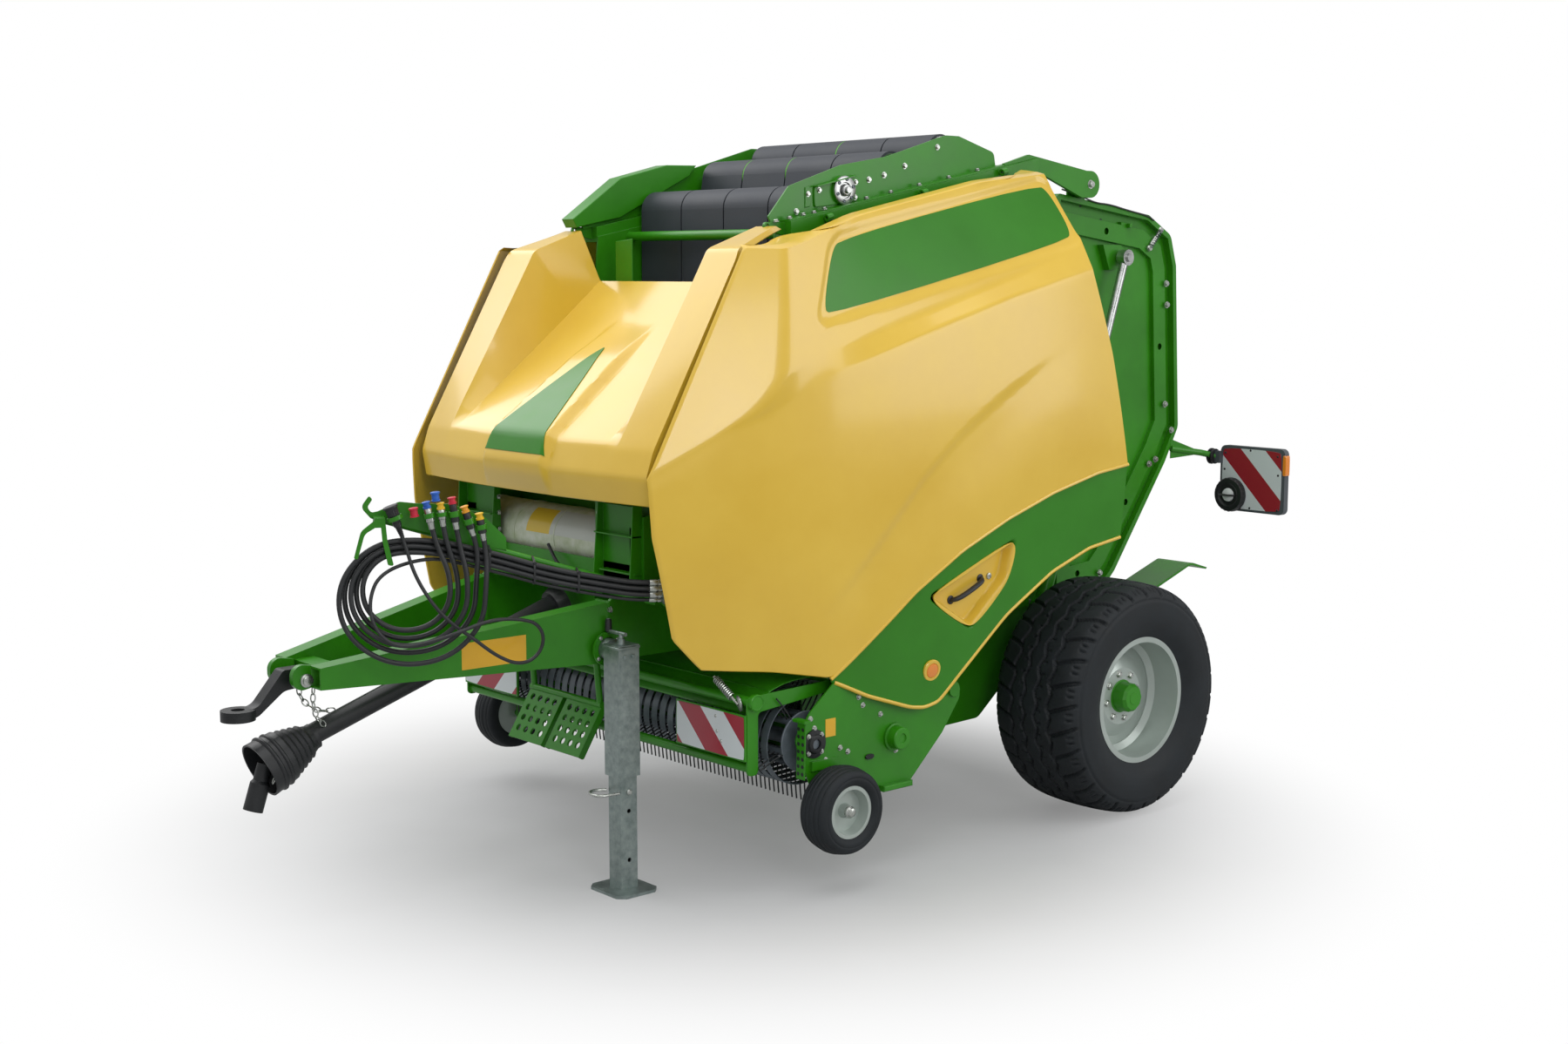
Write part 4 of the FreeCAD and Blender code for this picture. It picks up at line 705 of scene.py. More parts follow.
sideHood = {
    # (y, x): how far out the side stands along the machine
    "plan": [(-1.185, 0.872), (-0.873, 1.005), (-0.68, 1.06), (-0.445, 1.105), (-0.15, 1.14), (0.2, 1.165),
             (0.7, 1.185), (1.25, 1.2)],
    # (y, z) lines from front to rear
    "bottom": [(-0.985, 0.925), (-0.70, 0.894), (-0.43, 0.824), (-0.268, 0.749), (-0.044, 0.673),
               (0.032, 0.662),
               (0.109, 0.677), (0.237, 0.789), (0.502, 1.0), (0.777, 1.161), (1.006, 1.244), (1.214, 1.276)],
    "stripe": [(-0.441, 0.846), (-0.279, 0.967), (-0.035, 1.154), (0.219, 1.303), (0.483, 1.416),
               (0.757, 1.508),
               (1.044, 1.576), (1.246, 1.601)],
    "shoulder": [(-1.185, 1.675), (-0.873, 1.853), (-0.68, 1.928), (-0.445, 2.047), (0.19, 2.249),
                 (0.60, 2.363),
                 (1.04, 2.454)],
    "waist": [(-0.93, 1.977), (-0.64, 2.07), (-0.395, 2.158), (0.30, 2.336), (0.73, 2.455), (1.03, 2.56)],
    "brow": [(-0.702, 2.562), (-0.567, 2.558), (-0.45, 2.59), (-0.14, 2.690), (0.6, 2.845), (0.994, 2.892)],
    "seam": [(-0.33, 2.625), (1.0, 2.905)],
    "frontEdge": [(0.90, -0.975), (0.925, -0.985), (1.05, -1.092), (1.45, -1.172), (1.675, -1.185),
                  (2.562, -0.702),
                  (2.66, -0.25)],       # (z, y)
    "rearEdge": [(1.27, 1.214), (1.601, 1.240), (2.1, 1.16), (2.454, 1.078), (2.599, 1.078), (2.95, 0.985)],
    "arc": [(-0.470, 1.131), (-0.282, 1.321), (0.010, 1.634), (0.211, 1.794), (0.472, 1.953), (0.743, 2.091),
            (0.968, 2.160)],
    "waistX": 1.05,
    "browX": [(-0.567, 0.95), (-0.14, 0.90), (0.6, 0.88), (1.0, 0.88)],
    "seamX": 0.74,
    "wall": 0.012,
    "panel": [(-0.300, 2.578), (-0.430, 2.274), (1.058, 2.597), (0.988, 2.845)],
    "panelDepth": 0.010,
    "bandDepth": 0.008,
}


def lineAt(points, y, spread=0.03):
    # height of a line of (y, z) points at y: run on straight past both ends, and averaged over the spread
    p = np.asarray(points, float)
    first = p[0] - (p[1] - p[0]) / (p[1, 0] - p[0, 0])
    last = p[-1] + (p[-1] - p[-2]) / (p[-1, 0] - p[-2, 0])
    p = np.concatenate([[first], p, [last]])
    return np.mean([np.interp(y + d, p[:, 0], p[:, 1]) for d in np.linspace(-spread, spread, 5)], 0)


def smoothStep(value, low, high):
    t = np.clip((value - low) / (high - low), 0, 1)
    return t * t * (3 - 2 * t)


def softMin(a, b, width):
    # the smaller of two, blended over the width
    h = np.clip(0.5 + 0.5 * (b - a) / width, 0, 1)
    return b + (a - b) * h - width * h * (1 - h)


def quadDistance(corners, y, z, rounding):
    # signed distance outside a convex four-sided outline, rounded where two sides meet
    corners = np.asarray(corners, float)
    centre = corners.mean(0)
    sides = []
    for (y0, z0), (y1, z1) in zip(corners, np.roll(corners, -1, 0)):
        across = unit(np.array([z1 - z0, y0 - y1]))
        across = across if across @ (centre - (y0, z0)) < 0 else -across
        sides.append((y - y0) * across[0] + (z - z0) * across[1] + rounding)
    sides = np.maximum(np.stack(sides), 0)
    inside = np.max(sides, 0)
    corner = np.sqrt(np.sum(np.sort(sides, 0)[-2:] ** 2, 0))
    return np.where(inside > 0, corner, 0) - rounding


def hoodFlat(y, z):
    # x of the cover before rounding: barrel side, shoulder, waist to brow and brow to seam, cut by
    # the nose facet
    plan = lineAt(sideHood["plan"], y, 0.08)
    low = 0.10 - 0.085 * smoothStep(y, -0.75, -0.35) * (1 - smoothStep(y, 0.2, 0.8))
    bow = np.where(z > 1.45, 0.08, low) * (z - 1.45) ** 2
    side = plan - bow
    shoulder, waist = lineAt(sideHood["shoulder"], y), lineAt(sideHood["waist"], y)
    brow, seam = lineAt(sideHood["brow"], y), lineAt(sideHood["seam"], y)
    browX = lineAt(sideHood["browX"], y)
    atShoulder = plan - 0.08 * (shoulder - 1.45) ** 2
    up1 = np.clip((z - shoulder) / (waist - shoulder), 0, 1)
    up2 = np.clip((z - waist) / np.maximum(brow - waist, 0.05), 0, 1)
    up3 = np.clip((z - brow) / np.maximum(seam - brow, 0.01), 0, 1.2)
    x = np.where(z < shoulder, side, atShoulder + (sideHood["waistX"] - atShoulder) * up1)
    x = np.where(z > waist, sideHood["waistX"] + (browX - sideHood["waistX"]) * up2, x)
    x = np.where(z > brow, browX + (sideHood["seamX"] - browX) * up3, x)
    nose = 0.87 + 0.583 * (y + 1.185) - 0.3175 * (z - 1.675)
    return softMin(x, nose, 0.02)


def hoodX(y, z):
    # the flat-sided cover averaged over 8 mm each way, less the panel's recess and the shallow arc step
    spread = (-0.008, 0, 0.008)
    x = np.mean([hoodFlat(y + a, z + b) for a in spread for b in spread], 0)
    outside = quadDistance(sideHood["panel"], y, z, 0.04)
    x = x - sideHood["panelDepth"] * smoothStep(-outside, -0.035, -0.012)
    below = lineAt(sideHood["arc"], y) - z
    fade = smoothStep(y, -0.55, -0.25) * (1 - smoothStep(y, 0.30, 0.95))
    return x - 0.009 * fade * smoothStep(below, -0.002, 0.03) * (1 - smoothStep(below, 0.10, 0.42))


def hoodRows(lines, steps):
    # rows of (share, line below, line above) between neighbouring lines
    rows = []
    for k, count in enumerate(steps):
        share = np.linspace(0, 1, count, endpoint=k == len(steps) - 1)
        rows += [(w, lines[k], lines[k + 1]) for w in share]
    return rows


def hoodGrid(lines, steps, columns):
    # each row runs from the front edge to the rear edge between two guide lines
    grid = []
    front, rear = np.array(sideHood["frontEdge"]), np.array(sideHood["rearEdge"])
    for share, below, above in hoodRows(lines, steps):
        def height(y):
            return (1 - share) * lineAt(below, y) + share * lineAt(above, y)
        y0, y1 = np.array(-0.9), np.array(1.1)
        for _ in range(12):
            y0 = np.interp(height(y0), front[:, 0], front[:, 1])
            y1 = np.interp(height(y1), rear[:, 0], rear[:, 1])
        if below is sideHood["brow"]:
            y0 = np.array(-0.702 + 0.28 * share)
        y = y0 + (y1 - y0) * np.linspace(0, 1, columns)
        grid.append(np.stack([y, height(y)], -1))
    return np.stack(grid)


def onHood(flat, lift=0.0):
    return np.concatenate([(hoodX(flat[..., 0], flat[..., 1]) + lift)[..., None], flat], -1)


pocket = {
    "outline": [(0.046, 1.123), (0.284, 0.970), (0.493, 1.153), (0.540, 1.325)],
    "depth": 0.046,
    "slope": 0.026,                    # width of its sloping wall
    "rim": 0.012,                      # flange outside the outline
    "handle": [(0.205, 1.092), (0.375, 1.166)],
    "handleRise": 0.036,
    "lock": (0.425, 1.172),
    "reflector": (0.066, 0.815),
    "reflectorAxis": (1, -0.06, -0.16),
    # profiles of (distance out, radius)
    "foot": [(-0.004, 0), (-0.004, 0.019), (0.003, 0.019), (0.006, 0.014), (0.006, 0)],
    "lockProfile": [(-0.003, 0), (-0.003, 0.014), (0.008, 0.014), (0.010, 0.011), (0.010, 0.006),
                    (0.007, 0.005),
                    (0.007, 0)],
    "ring": [(-0.004, 0), (-0.004, 0.046), (0.004, 0.046), (0.007, 0.043), (0.007, 0.032), (0.004, 0.031),
             (0.004, 0)],
    "lens": [(0.003, 0), (0.003, 0.031), (0.0075, 0.029), (0.0095, 0.018), (0.010, 0)],
}


def pocketDepth(y, z, depth, margin):
    # how far a surface lies below the cover: 0 outside the outline, the full depth past the sloping wall
    inside = margin - quadDistance(pocket["outline"], y, z, 0.030)
    return depth * smoothStep(inside, 0.0, pocket["slope"])


def makeSideHoods():
    lower = [p for p in sideHood["bottom"] if p[0] < -0.5] + sideHood["stripe"]
    lines = [lower, sideHood["shoulder"], sideHood["waist"], sideHood["brow"], sideHood["seam"]]
    grid = onHood(hoodGrid(lines, (46, 14, 34, 12), 190))
    body = shell(grid, sideHood["wall"], np.array([-1.0, 0, 0]) * np.ones_like(grid))
    makeEachSide("cover", body, "glossCoverYellow", "side_hood", replaced="side_hood")
    makeEachSide("coverBand", bandShape(), "glossFilmGreen", "side_hood")
    makeEachSide("coverBead", joinShapes([beadShape(), edgeLineShape()]), "glossCoverYellow", "side_hood")
    makeEachSide("coverPanel", panelShape(), "glossFilmGreen", "side_hood")


def bandShape():
    # the green band between the stripe and the bottom edge, a little lower than the cover above it
    y = np.linspace(-0.44, 1.0, 260)[None, :]
    share = np.linspace(0, 1, 70)[:, None]
    yRow = y + (np.linspace(0, 1, 260)[None, :] ** 3) * (0.21 + 0.035 * share)
    stripe, bottom = lineAt(sideHood["stripe"], yRow, 0.02), lineAt(sideHood["bottom"], yRow, 0.02)
    z = bottom + (stripe - bottom) * share
    flat = np.stack([yRow, z], -1)
    grid = onHood(flat, -sideHood["bandDepth"] - pocketDepth(yRow, z, pocket["depth"] + 0.010, 0.010))
    return shell(grid, 0.010, np.array([-1.0, 0, 0]) * np.ones_like(grid))


def beadShape():
    y = np.linspace(-0.45, 1.245, 160)
    path = onHood(np.stack([y, lineAt(sideHood["stripe"], y, 0.02)], -1), -0.004)
    return sweep(path, circle(0.008, 8) * [1, 1.1], up=(1, 0, 0))


def edgeLineShape():
    y = np.linspace(-0.43, 1.21, 160)
    path = onHood(np.stack([y, lineAt(sideHood["bottom"], y, 0.02)], -1), -sideHood["bandDepth"] - 0.004)
    return sweep(path, circle(0.009, 10), up=(1, 0, 0))


def panelShape():
    # the green panel in its recess: rings of the rounded outline drawn in to the middle
    corners = np.array(sideHood["panel"])[::-1]
    outline = spaceEvenly(cutCorners(np.concatenate([roundCorner(corners, k, 0.045) for k in range(4)]), 2,
                                     True),
                          240, closed=True)
    share = np.concatenate([np.linspace(1, 0.1, 14), [0.0]])[:, None, None]
    centre = spaceEvenly(corners, 240, closed=True).mean(0)
    flat = centre + (outline[None] - centre) * share
    rings = np.concatenate([onHood(flat, 0.0012)[::-1], onHood(flat[:1], -0.003)], 0)
    lowerRings = onHood(flat[1:], -0.003)
    return gridShape(np.concatenate([rings, lowerRings], 0), wrapColumns=True)


makeSideHoods()
print("side hoods made")

# ---- front hood ----

frontHood = {
    # (y, z) lines from the lip up: the side columns and the ramp between them, at the same shares
    "shares": (0, 0.09, 0.2, 0.85, 1),
    "column": [(-1.142, 1.560), (-1.160, 1.672), (-1.125, 1.775), (-0.690, 2.548), (-0.430, 2.640)],
    "ramp": [(-1.142, 1.560), (-1.160, 1.672), (-1.118, 1.790), (-0.522, 2.292), (-0.375, 2.415)],
    "outer": 0.818,
    "outerTop": 0.735,
    "columnInner": 0.612,
    "rampOuter": 0.548,
    "bow": 0.060,                       # how far the lip's middle stands forward
    "humpHalf": 0.235,
    "humpRise": 0.030,
    "wall": 0.012,
}


def frontHoodPoint(v, u):
    # v runs up from the lip, u across from -1 to 1: ramp, cheek and column are stretches of u
    f = frontHood
    shares = np.array(f["shares"])
    side = np.abs(u)
    column = np.stack([smoothLine(shares, np.array(f["column"])[:, k], v) for k in (0, 1)], -1)
    ramp = np.stack([smoothLine(shares, np.array(f["ramp"])[:, k], v) for k in (0, 1)], -1)
    climb = smoothStep(side, 0.56, 0.66)[..., None]
    yz = ramp + (column - ramp) * climb
    outer = f["outer"] + (f["outerTop"] - f["outer"]) * smoothStep(v, 0.80, 1.0)
    inner = f["rampOuter"] + (f["columnInner"] - f["rampOuter"]) * climb[..., 0]
    x = np.where(side < 0.56, side / 0.56 * f["rampOuter"], inner)
    x = np.where(side > 0.66, inner + (outer - inner) * (side - 0.66) / (1 - 0.66), x)
    bowed = f["bow"] * (1 - (x / 0.83) ** 2) * (1 - smoothStep(v, 0.0, 0.9))
    hump = f["humpRise"] * smoothStep(f["humpHalf"] * (1 - 0.45 * v) - x, -0.012, 0.02) * (
        1 - smoothStep(v, 0.55, 0.80)) * smoothStep(v, 0.0, 0.06)
    y = yz[..., 0] - bowed - hump * 0.75
    z = yz[..., 1] + hump * 0.66
    return np.stack([x * np.sign(u), y, z], -1)


def smoothLine(shares, values, at, spread=0.012):
    return np.mean([np.interp(at + d, shares, values) for d in np.linspace(-spread, spread, 5)], 0)


def makeFrontHood():
    f = frontHood
    half = np.concatenate([np.linspace(0, 0.53, 44), np.linspace(0.54, 0.68, 20),
                           np.linspace(0.70, 0.97, 16),
                           [0.985, 1.0]])
    u = np.concatenate([-half[:0:-1], half])
    v = np.concatenate([np.linspace(0, 0.24, 30), np.linspace(0.25, 0.80, 50), np.linspace(0.81, 1, 24)])
    u, v = np.broadcast_arrays(u[None, :], v[:, None])
    grid = frontHoodPoint(v, u)
    flange = grid[:, [0, -1]] + np.array([0, 0.03, -0.012])
    grid = np.concatenate([flange[:, :1], grid, flange[:, 1:]], 1)
    makePiece("frontCover", shell(grid[::-1], f["wall"]), "glossCoverYellow", "front_hood",
              replaced=["front_hood"])


makeFrontHood()
print("front hood made")

# ---- main tyres ----

tyre = {
    "centre": (1.05, 1.30, 0.53),
    # (x from the middle, radius) from the inner bead round the tread to the outer bead
    "profile": [(-0.196, 0.273), (-0.212, 0.300), (-0.240, 0.350), (-0.2465, 0.410), (-0.241, 0.465),
                (-0.222, 0.500),
                (-0.190, 0.519), (-0.100, 0.528), (0, 0.530), (0.100, 0.528), (0.190, 0.519), (0.222, 0.500),
                (0.241, 0.465), (0.2465, 0.410), (0.240, 0.350), (0.212, 0.300), (0.196, 0.273)],
    "pitches": 30,
    "stepsPerPitch": 22,
    "grooves": (0.036, 0.108),          # lateral places of the zigzag grooves
    "zigzag": 0.011,
    "grooveWidth": 0.013,
    "depth": 0.016,
}


def bar(value, width, soft=0.0025):
    # 1 within half the width of 0, falling off over the soft edge
    return 1 - smoothStep(np.abs(value), width / 2 - soft, width / 2 + soft)


def tyreShape():
    # tread depth as a function of the place round the tyre and across it
    t = tyre
    line = cutCorners(t["profile"], 3)
    profile = spaceEvenly(line, 400)
    length = np.linspace(-0.5, 0.5, 400) * np.sum(np.linalg.norm(np.diff(line, axis=0), axis=1))
    places = np.concatenate([np.linspace(-0.47, -0.29, 14), np.linspace(-0.285, 0.285, 112),
                             np.linspace(0.29, 0.47, 14)])
    places = places * length[-1] / 0.47
    profile = np.stack([np.interp(places, length, profile[:, k]) for k in (0, 1)], -1)
    normal = np.gradient(profile, axis=0)
    normal = unit(np.stack([-normal[:, 1], normal[:, 0]], -1))
    steps = t["pitches"] * t["stepsPerPitch"]
    turn = np.linspace(0, 1, steps, endpoint=False) * t["pitches"]
    phase, across = turn[None, :], places[:, None]
    pitch = 2 * np.pi * 0.53 / t["pitches"]
    wave = 2 * np.abs(2 * ((phase + 0.25) % 1) - 1) - 1
    depth = np.zeros((len(places), steps))
    for place, flip in ((-t["grooves"][1], 1), (-t["grooves"][0], -1), (t["grooves"][0], 1),
                        (t["grooves"][1], -1)):
        depth = np.maximum(depth, bar(across - place - flip * t["zigzag"] * wave, t["grooveWidth"]))
    side = np.abs(across)
    outward = np.clip((side - 0.112) / 0.13, 0, 1)
    middle = (phase - 0.5 * (across < 0) + 0.42 * outward ** 0.8 + 0.5) % 1 - 0.5
    lateral = bar(middle * pitch, 0.017) * smoothStep(side, 0.108, 0.116)
    lateral = lateral * (1 - smoothStep(side, 0.235, 0.262))
    depth = np.maximum(depth, lateral)
    for shift in (0.36, 0.62):
        slot = (phase - 0.5 * (across < 0) + 0.42 + shift + 0.5) % 1 - 0.5
        depth = np.maximum(depth, 0.55 * bar(slot * pitch, 0.010) * smoothStep(side, 0.196, 0.202)
                           * (1 - smoothStep(side, 0.226, 0.236)))
    nick = (phase * 2 + 0.5) % 1 - 0.5
    depth = np.maximum(depth, 0.5 * bar(nick * pitch / 2, 0.009) * bar(side - 0.055, 0.022))
    depth = depth * t["depth"]
    radius = profile[:, 1:2]
    depth = depth + 0.004 * bar(radius - 0.462, 0.010) * (side > 0.2)
    depth = depth + 0.003 * bar(radius - 0.432, 0.008) * (side > 0.2)
    ring = profile[:, None, :] + normal[:, None, :] * (-depth)[..., None]
    angle = 2 * np.pi * turn / t["pitches"]
    x = t["centre"][0] + ring[..., 0]
    y = t["centre"][1] + ring[..., 1] * np.cos(angle)
    z = t["centre"][2] + ring[..., 1] * np.sin(angle)
    outer = np.stack([x, y, z], -1)
    inner = []
    for shift, r in ((0.17, 0.273), (0.20, 0.36), (0, 0.46), (-0.20, 0.36), (-0.17, 0.273)):
        inner.append(np.stack([np.full(steps, t["centre"][0] + shift), t["centre"][1] + r * np.cos(angle),
                               t["centre"][2] + r * np.sin(angle)], -1))
    return gridShape(np.concatenate([outer, np.stack(inner)]), wrapRows=True, wrapColumns=True)


def makeTyres():
    makeEachSide("tread", tyreShape(), "tyreRubber", "wheel", 60, "tyre")


makeTyres()
print("tyres made")

# ---- warning boards and rear light boards ----

boards = {
    "pitch": 0.290,                    # one red and one white stripe, measured along x or z
    "front": (0.582, 0.550, 1.017, 0.735, -0.840),   # x, z, x, z and the face's y
    "frontStripe": 1.326,              # x + z where a red stripe starts
    "rear": (0.785, 1.265, 1.167, 1.590, 2.478),
    "rearStripe": 2.340,
    "frontRivets": [(0.838, 0.706), (0.846, 0.646), (0.872, 0.610)],
    "rearRivets": [(0.815, 1.552), (0.965, 1.572), (1.125, 1.552), (0.812, 1.470), (1.130, 1.460),
                   (0.968, 1.285), (1.130, 1.288)],
    "sheet": (-0.002, 0.001),          # the sheet's two faces, from the board's face
    "sideReflector": ((-0.010, -0.130), (0.010, -0.030), (-0.006, 0.028)),
    "lamp": (0.858, 1.345),
    # profiles of (distance forward, radius), and the grip's (across, forward)
    "lampBody": [(-0.002, 0), (-0.002, 0.086), (0.026, 0.086), (0.034, 0.080), (0.036, 0.060),
                 (0.030, 0.050),
                 (0.030, 0)],
    "lampLens": [(0.029, 0), (0.029, 0.034), (0.036, 0.032), (0.041, 0.022), (0.043, 0)],
    "lampGrip": [(-0.046, 0.040), (-0.020, 0.050), (0.020, 0.050), (0.046, 0.040)],
    # two corners of each rear lamp, and the y of both its faces
    "tailLamp": ((0.80, 1.46), (0.96, 1.57)),
    "turnLamp": ((0.985, 1.46), (1.14, 1.57)),
    "rearLampY": (2.511, 2.526),
    "flange": [(-0.010, 0), (-0.010, 0.030), (-0.006, 0.040), (0.002, 0.040), (0.004, 0.026), (0.012, 0.026),
               (0.014, 0.038), (0.022, 0.038), (0.024, 0.030), (0.024, 0)],
    "flangePlace": (0.748, 2.455, 1.532),
    "bracket": ((0.652, 2.240, 1.572), (0.704, 2.362, 1.556)),     # its root and its tip
}


def stripedSheet(name, first):
    # Retroreflective sheet: red bars printed on white, where (|x| + z - first) / pitch has a fraction below
    # a half, under a clear film with fine beads
    material = bpy.data.materials.new(name)
    material.use_nodes = True
    tree = material.node_tree
    tree.nodes.clear()
    place = addNode(tree, "TexCoord").outputs["Object"]
    axes = addNode(tree, "SeparateXYZ", links={0: place})
    side = addNode(tree, "Math", links={0: axes.outputs["X"]}, operation="ABSOLUTE")
    total = addNode(tree, "Math", links={0: side.outputs[0], 1: axes.outputs["Z"]}, operation="ADD")
    shifted = addNode(tree, "Math", values={1: first}, links={0: total.outputs[0]}, operation="SUBTRACT")
    counted = addNode(tree, "Math", values={1: boards["pitch"]}, links={0: shifted.outputs[0]},
                      operation="DIVIDE")
    share = addNode(tree, "Math", links={0: counted.outputs[0]}, operation="FRACT")
    bars = addNode(tree, "ValToRGB", links={0: share.outputs[0]})
    bars.color_ramp.interpolation = "CONSTANT"
    bars.color_ramp.elements[0].color = linearColour("#9B1C30")
    bars.color_ramp.elements[1].position = 0.5
    bars.color_ramp.elements[1].color = linearColour("#CFD6D8")
    beads = addNode(tree, "TexVoronoi", values={"Scale": 300.0}, links={"Vector": place})
    bump = addNode(tree, "Bump", values={"Distance": 0.0002, "Strength": 1.0},
                   links={"Height": beads.outputs[0]})
    shader = addNode(tree, "BsdfPrincipled",
                     values={"Roughness": 0.35, "Coat Weight": 0.3, "Coat Roughness": 0.1},
                     links={"Base Color": bars.outputs[0], "Normal": bump.outputs[0]})
    addNode(tree, "OutputMaterial", links={"Surface": shader.outputs[0]})
    materials[name] = material


def fourCorners(low, high):
    return [low, (high[0], low[1]), high, (low[0], high[1])]


def rectangle(low, high, reach):
    # a rounded rectangle between two corners
    return roundedOutline(fourCorners(low, high), reach)


def sheetShape(board, near, far, reach):
    # the printed sheet, this much inside the board's low corner and its high one
    x0, z0, x1, z1, y = boards[board]
    back, front = boards["sheet"]
    return slab(rectangle((x0 + near, z0 + near), (x1 - far[0], z1 - far[1]), reach), "y", y + back,
                y + front,
                0.0005)


def rivetShape(board, radius):
    places = [(x, boards[board][4] - 0.0018, z) for x, z in boards[board + "Rivets"]]
    return copies(domeShape((0, -1, 0), radius), places)


def makeBoards():
    stripedSheet("stripedFront", boards["frontStripe"])
    stripedSheet("stripedRear", boards["rearStripe"])
    makePair("boardSheet", sheetShape("front", 0.005, (0.005, 0.005), 0.008), "stripedFront", "crop_guard")
    makePair("boardRivets", rivetShape("front", 0.007), "zincPlate", "crop_guard")
    makePair("lightSheet", sheetShape("rear", 0.012, (0.018, 0.012), 0.020), "stripedRear", "tailgate")
    makePair("lightRivets", rivetShape("rear", 0.006), "blackPlastic", "tailgate")
    _, _, x1, z1, y = boards["rear"]
    low, high, depth = boards["sideReflector"]
    rim = slab(rectangle((x1 + low[0], z1 + low[1]), (x1 + high[0], z1 + high[1]), 0.004), "y", y + depth[0],
               y + depth[1])
    makePair("sideReflector", rim, "amberLens", "tailgate")
    x, z = boards["lamp"]
    body = revolve(boards["lampBody"], (x, y, z), (0, -1, 0), 96, wave=lobes(24, 0.03, -0.001, 0.030))
    lens = revolve(boards["lampLens"], (x, y, z), (0, -1, 0), 40)
    grip = sweep([(x + across, y - ahead, z) for across, ahead in boards["lampGrip"]],
                 circle(0.009, 10) * [1, 0.6])
    makePair("lampBody", body, "blackPlastic", "tailgate", 30)
    makePair("lampLens", lens, "boardWhite", "tailgate")
    makePair("lampGrip", grip, "blackPlastic", "tailgate")
    for name, finishName in (("tailLamp", "signalRed"), ("turnLamp", "amberLens")):
        lamp = slab(rectangle(*boards[name], 0.015), "y", *boards["rearLampY"])
        makePair(name + "s", lamp, finishName, "tailgate")
    flange = revolve(boards["flange"], boards["flangePlace"], steps=40)
    makePair("lightFlanges", flange, "castBlack", "tailgate", 30)
    makePair("lightBrackets", lightBracket(), "powderCoatGreen", "tailgate")


def domeShape(axis, radius):
    return revolve([(0, 0), (0, radius), (0.25 * radius, 0.9 * radius), (0.5 * radius, 0.55 * radius),
                    (0.6 * radius, 0)], (0, 0, 0), axis, 14)


def lightBracket():
    # two folded gussets along the arm, tapering towards the board
    root, tip = np.array(boards["bracket"])
    along = tip - root
    shapes = []
    for lift, drop in ((0.052, 0.016), (-0.046, -0.016)):
        foot = [root + (0, 0, lift), root + (0, 0, 0.2 * drop), tip + (0, 0, 0.2 * drop), tip + (0, 0, drop)]
        sheet = np.stack([np.array(foot), np.array(foot) + unit(np.cross(along, (0, 0, 1.0))) * 0.004])
        shapes.append(gridShape(sheet, wrapColumns=True, caps=True))
    return joinShapes(shapes)


makeBoards()
print("boards and lamps made")

# ---- rows of bolts ----


def boltShape(axis, size):
    # a washer and a chamfered six-sided head; size is half the width across the flats
    washer = revolve([(0, 0), (0, 1.5 * size), (0.0016, 1.5 * size), (0.0016, 0)], (0, 0, 0), axis, 12)
    head = revolve([(0.001, 0), (0.001, 1.15 * size), (0.9 * size, 1.15 * size), (1.1 * size, 0.95 * size),
                    (1.1 * size, 0)], (0, 0, 0), axis, 12, wave=lobes(6, 0.14))
    return joinShapes([washer, head])


def bolts(places, axis, size=0.009):
    return copies(boltShape(axis, size), places)


def boltCircle(centre, radius, turn):
    # places round a centre, in the plane across x, at these angles
    x, y, z = centre
    return np.stack([np.full(len(turn), x), y + radius * np.cos(turn), z + radius * np.sin(turn)], -1)


bolted = {
    # rows of (x, y, z) on the machine's left, repeated on its right
    "towerFoot": [(0.688, -0.392, 2.657), (0.690, -0.322, 2.671), (0.690, -0.248, 2.686),
                  (0.702, -0.200, 2.695),
                  (0.690, -0.130, 2.711), (0.690, 0.108, 2.760), (0.690, 0.250, 2.789),
                  (0.690, 0.420, 2.824),
                  (0.690, 0.600, 2.861), (0.690, 0.780, 2.898)],
    "towerSide": [(0.660, -0.200, 2.776), (0.660, 0.238, 2.863), (0.660, 0.558, 2.992),
                  (0.660, 0.149, 2.841),
                  (0.660, -0.260, 2.700), (0.660, 0.360, 2.905)],
    "gateEdge": [(0.655, 2.173, 2.394), (0.655, 2.182, 2.290), (0.655, 2.185, 1.800), (0.655, 2.240, 1.669),
                 (0.655, 2.072, 1.510), (0.655, 2.120, 1.530), (0.655, 1.712, 1.001)],
    "netPosts": [(0.365, -1.058, 1.494), (0.365, -1.058, 1.426), (0.365, -1.058, 1.355),
                 (0.365, -1.058, 1.220)],
    "pickupWall": [(1.088, -0.299, 0.746), (1.088, -0.275, 0.709), (1.088, -0.176, 0.657),
                   (1.088, -0.400, 0.552),
                   (1.088, -0.479, 0.515), (1.088, -0.358, 0.530), (1.088, -0.088, 0.492),
                   (1.088, -0.561, 0.694),
                   (1.088, -0.540, 0.653)],
}


def makeBolts():
    rows = (("towerFoot", (0, -0.2, 0.98), 0.009, "chassis"), ("towerSide", (1, 0, 0), 0.009, "chassis"),
            ("gateEdge", (1, 0, 0), 0.011, "tailgate"), ("netPosts", (0, -1, 0), 0.008, "chassis"),
            ("pickupWall", (1, 0, 0), 0.008, "pickup"))
    for name, axis, size, body in rows:
        makePair("bolts_" + name, bolts(bolted[name], axis, size), "zincPlate", body, 30)


makeBolts()
print("bolts made")

# ---- belt tower: rings between the belts, bearings, brackets and a housing ----

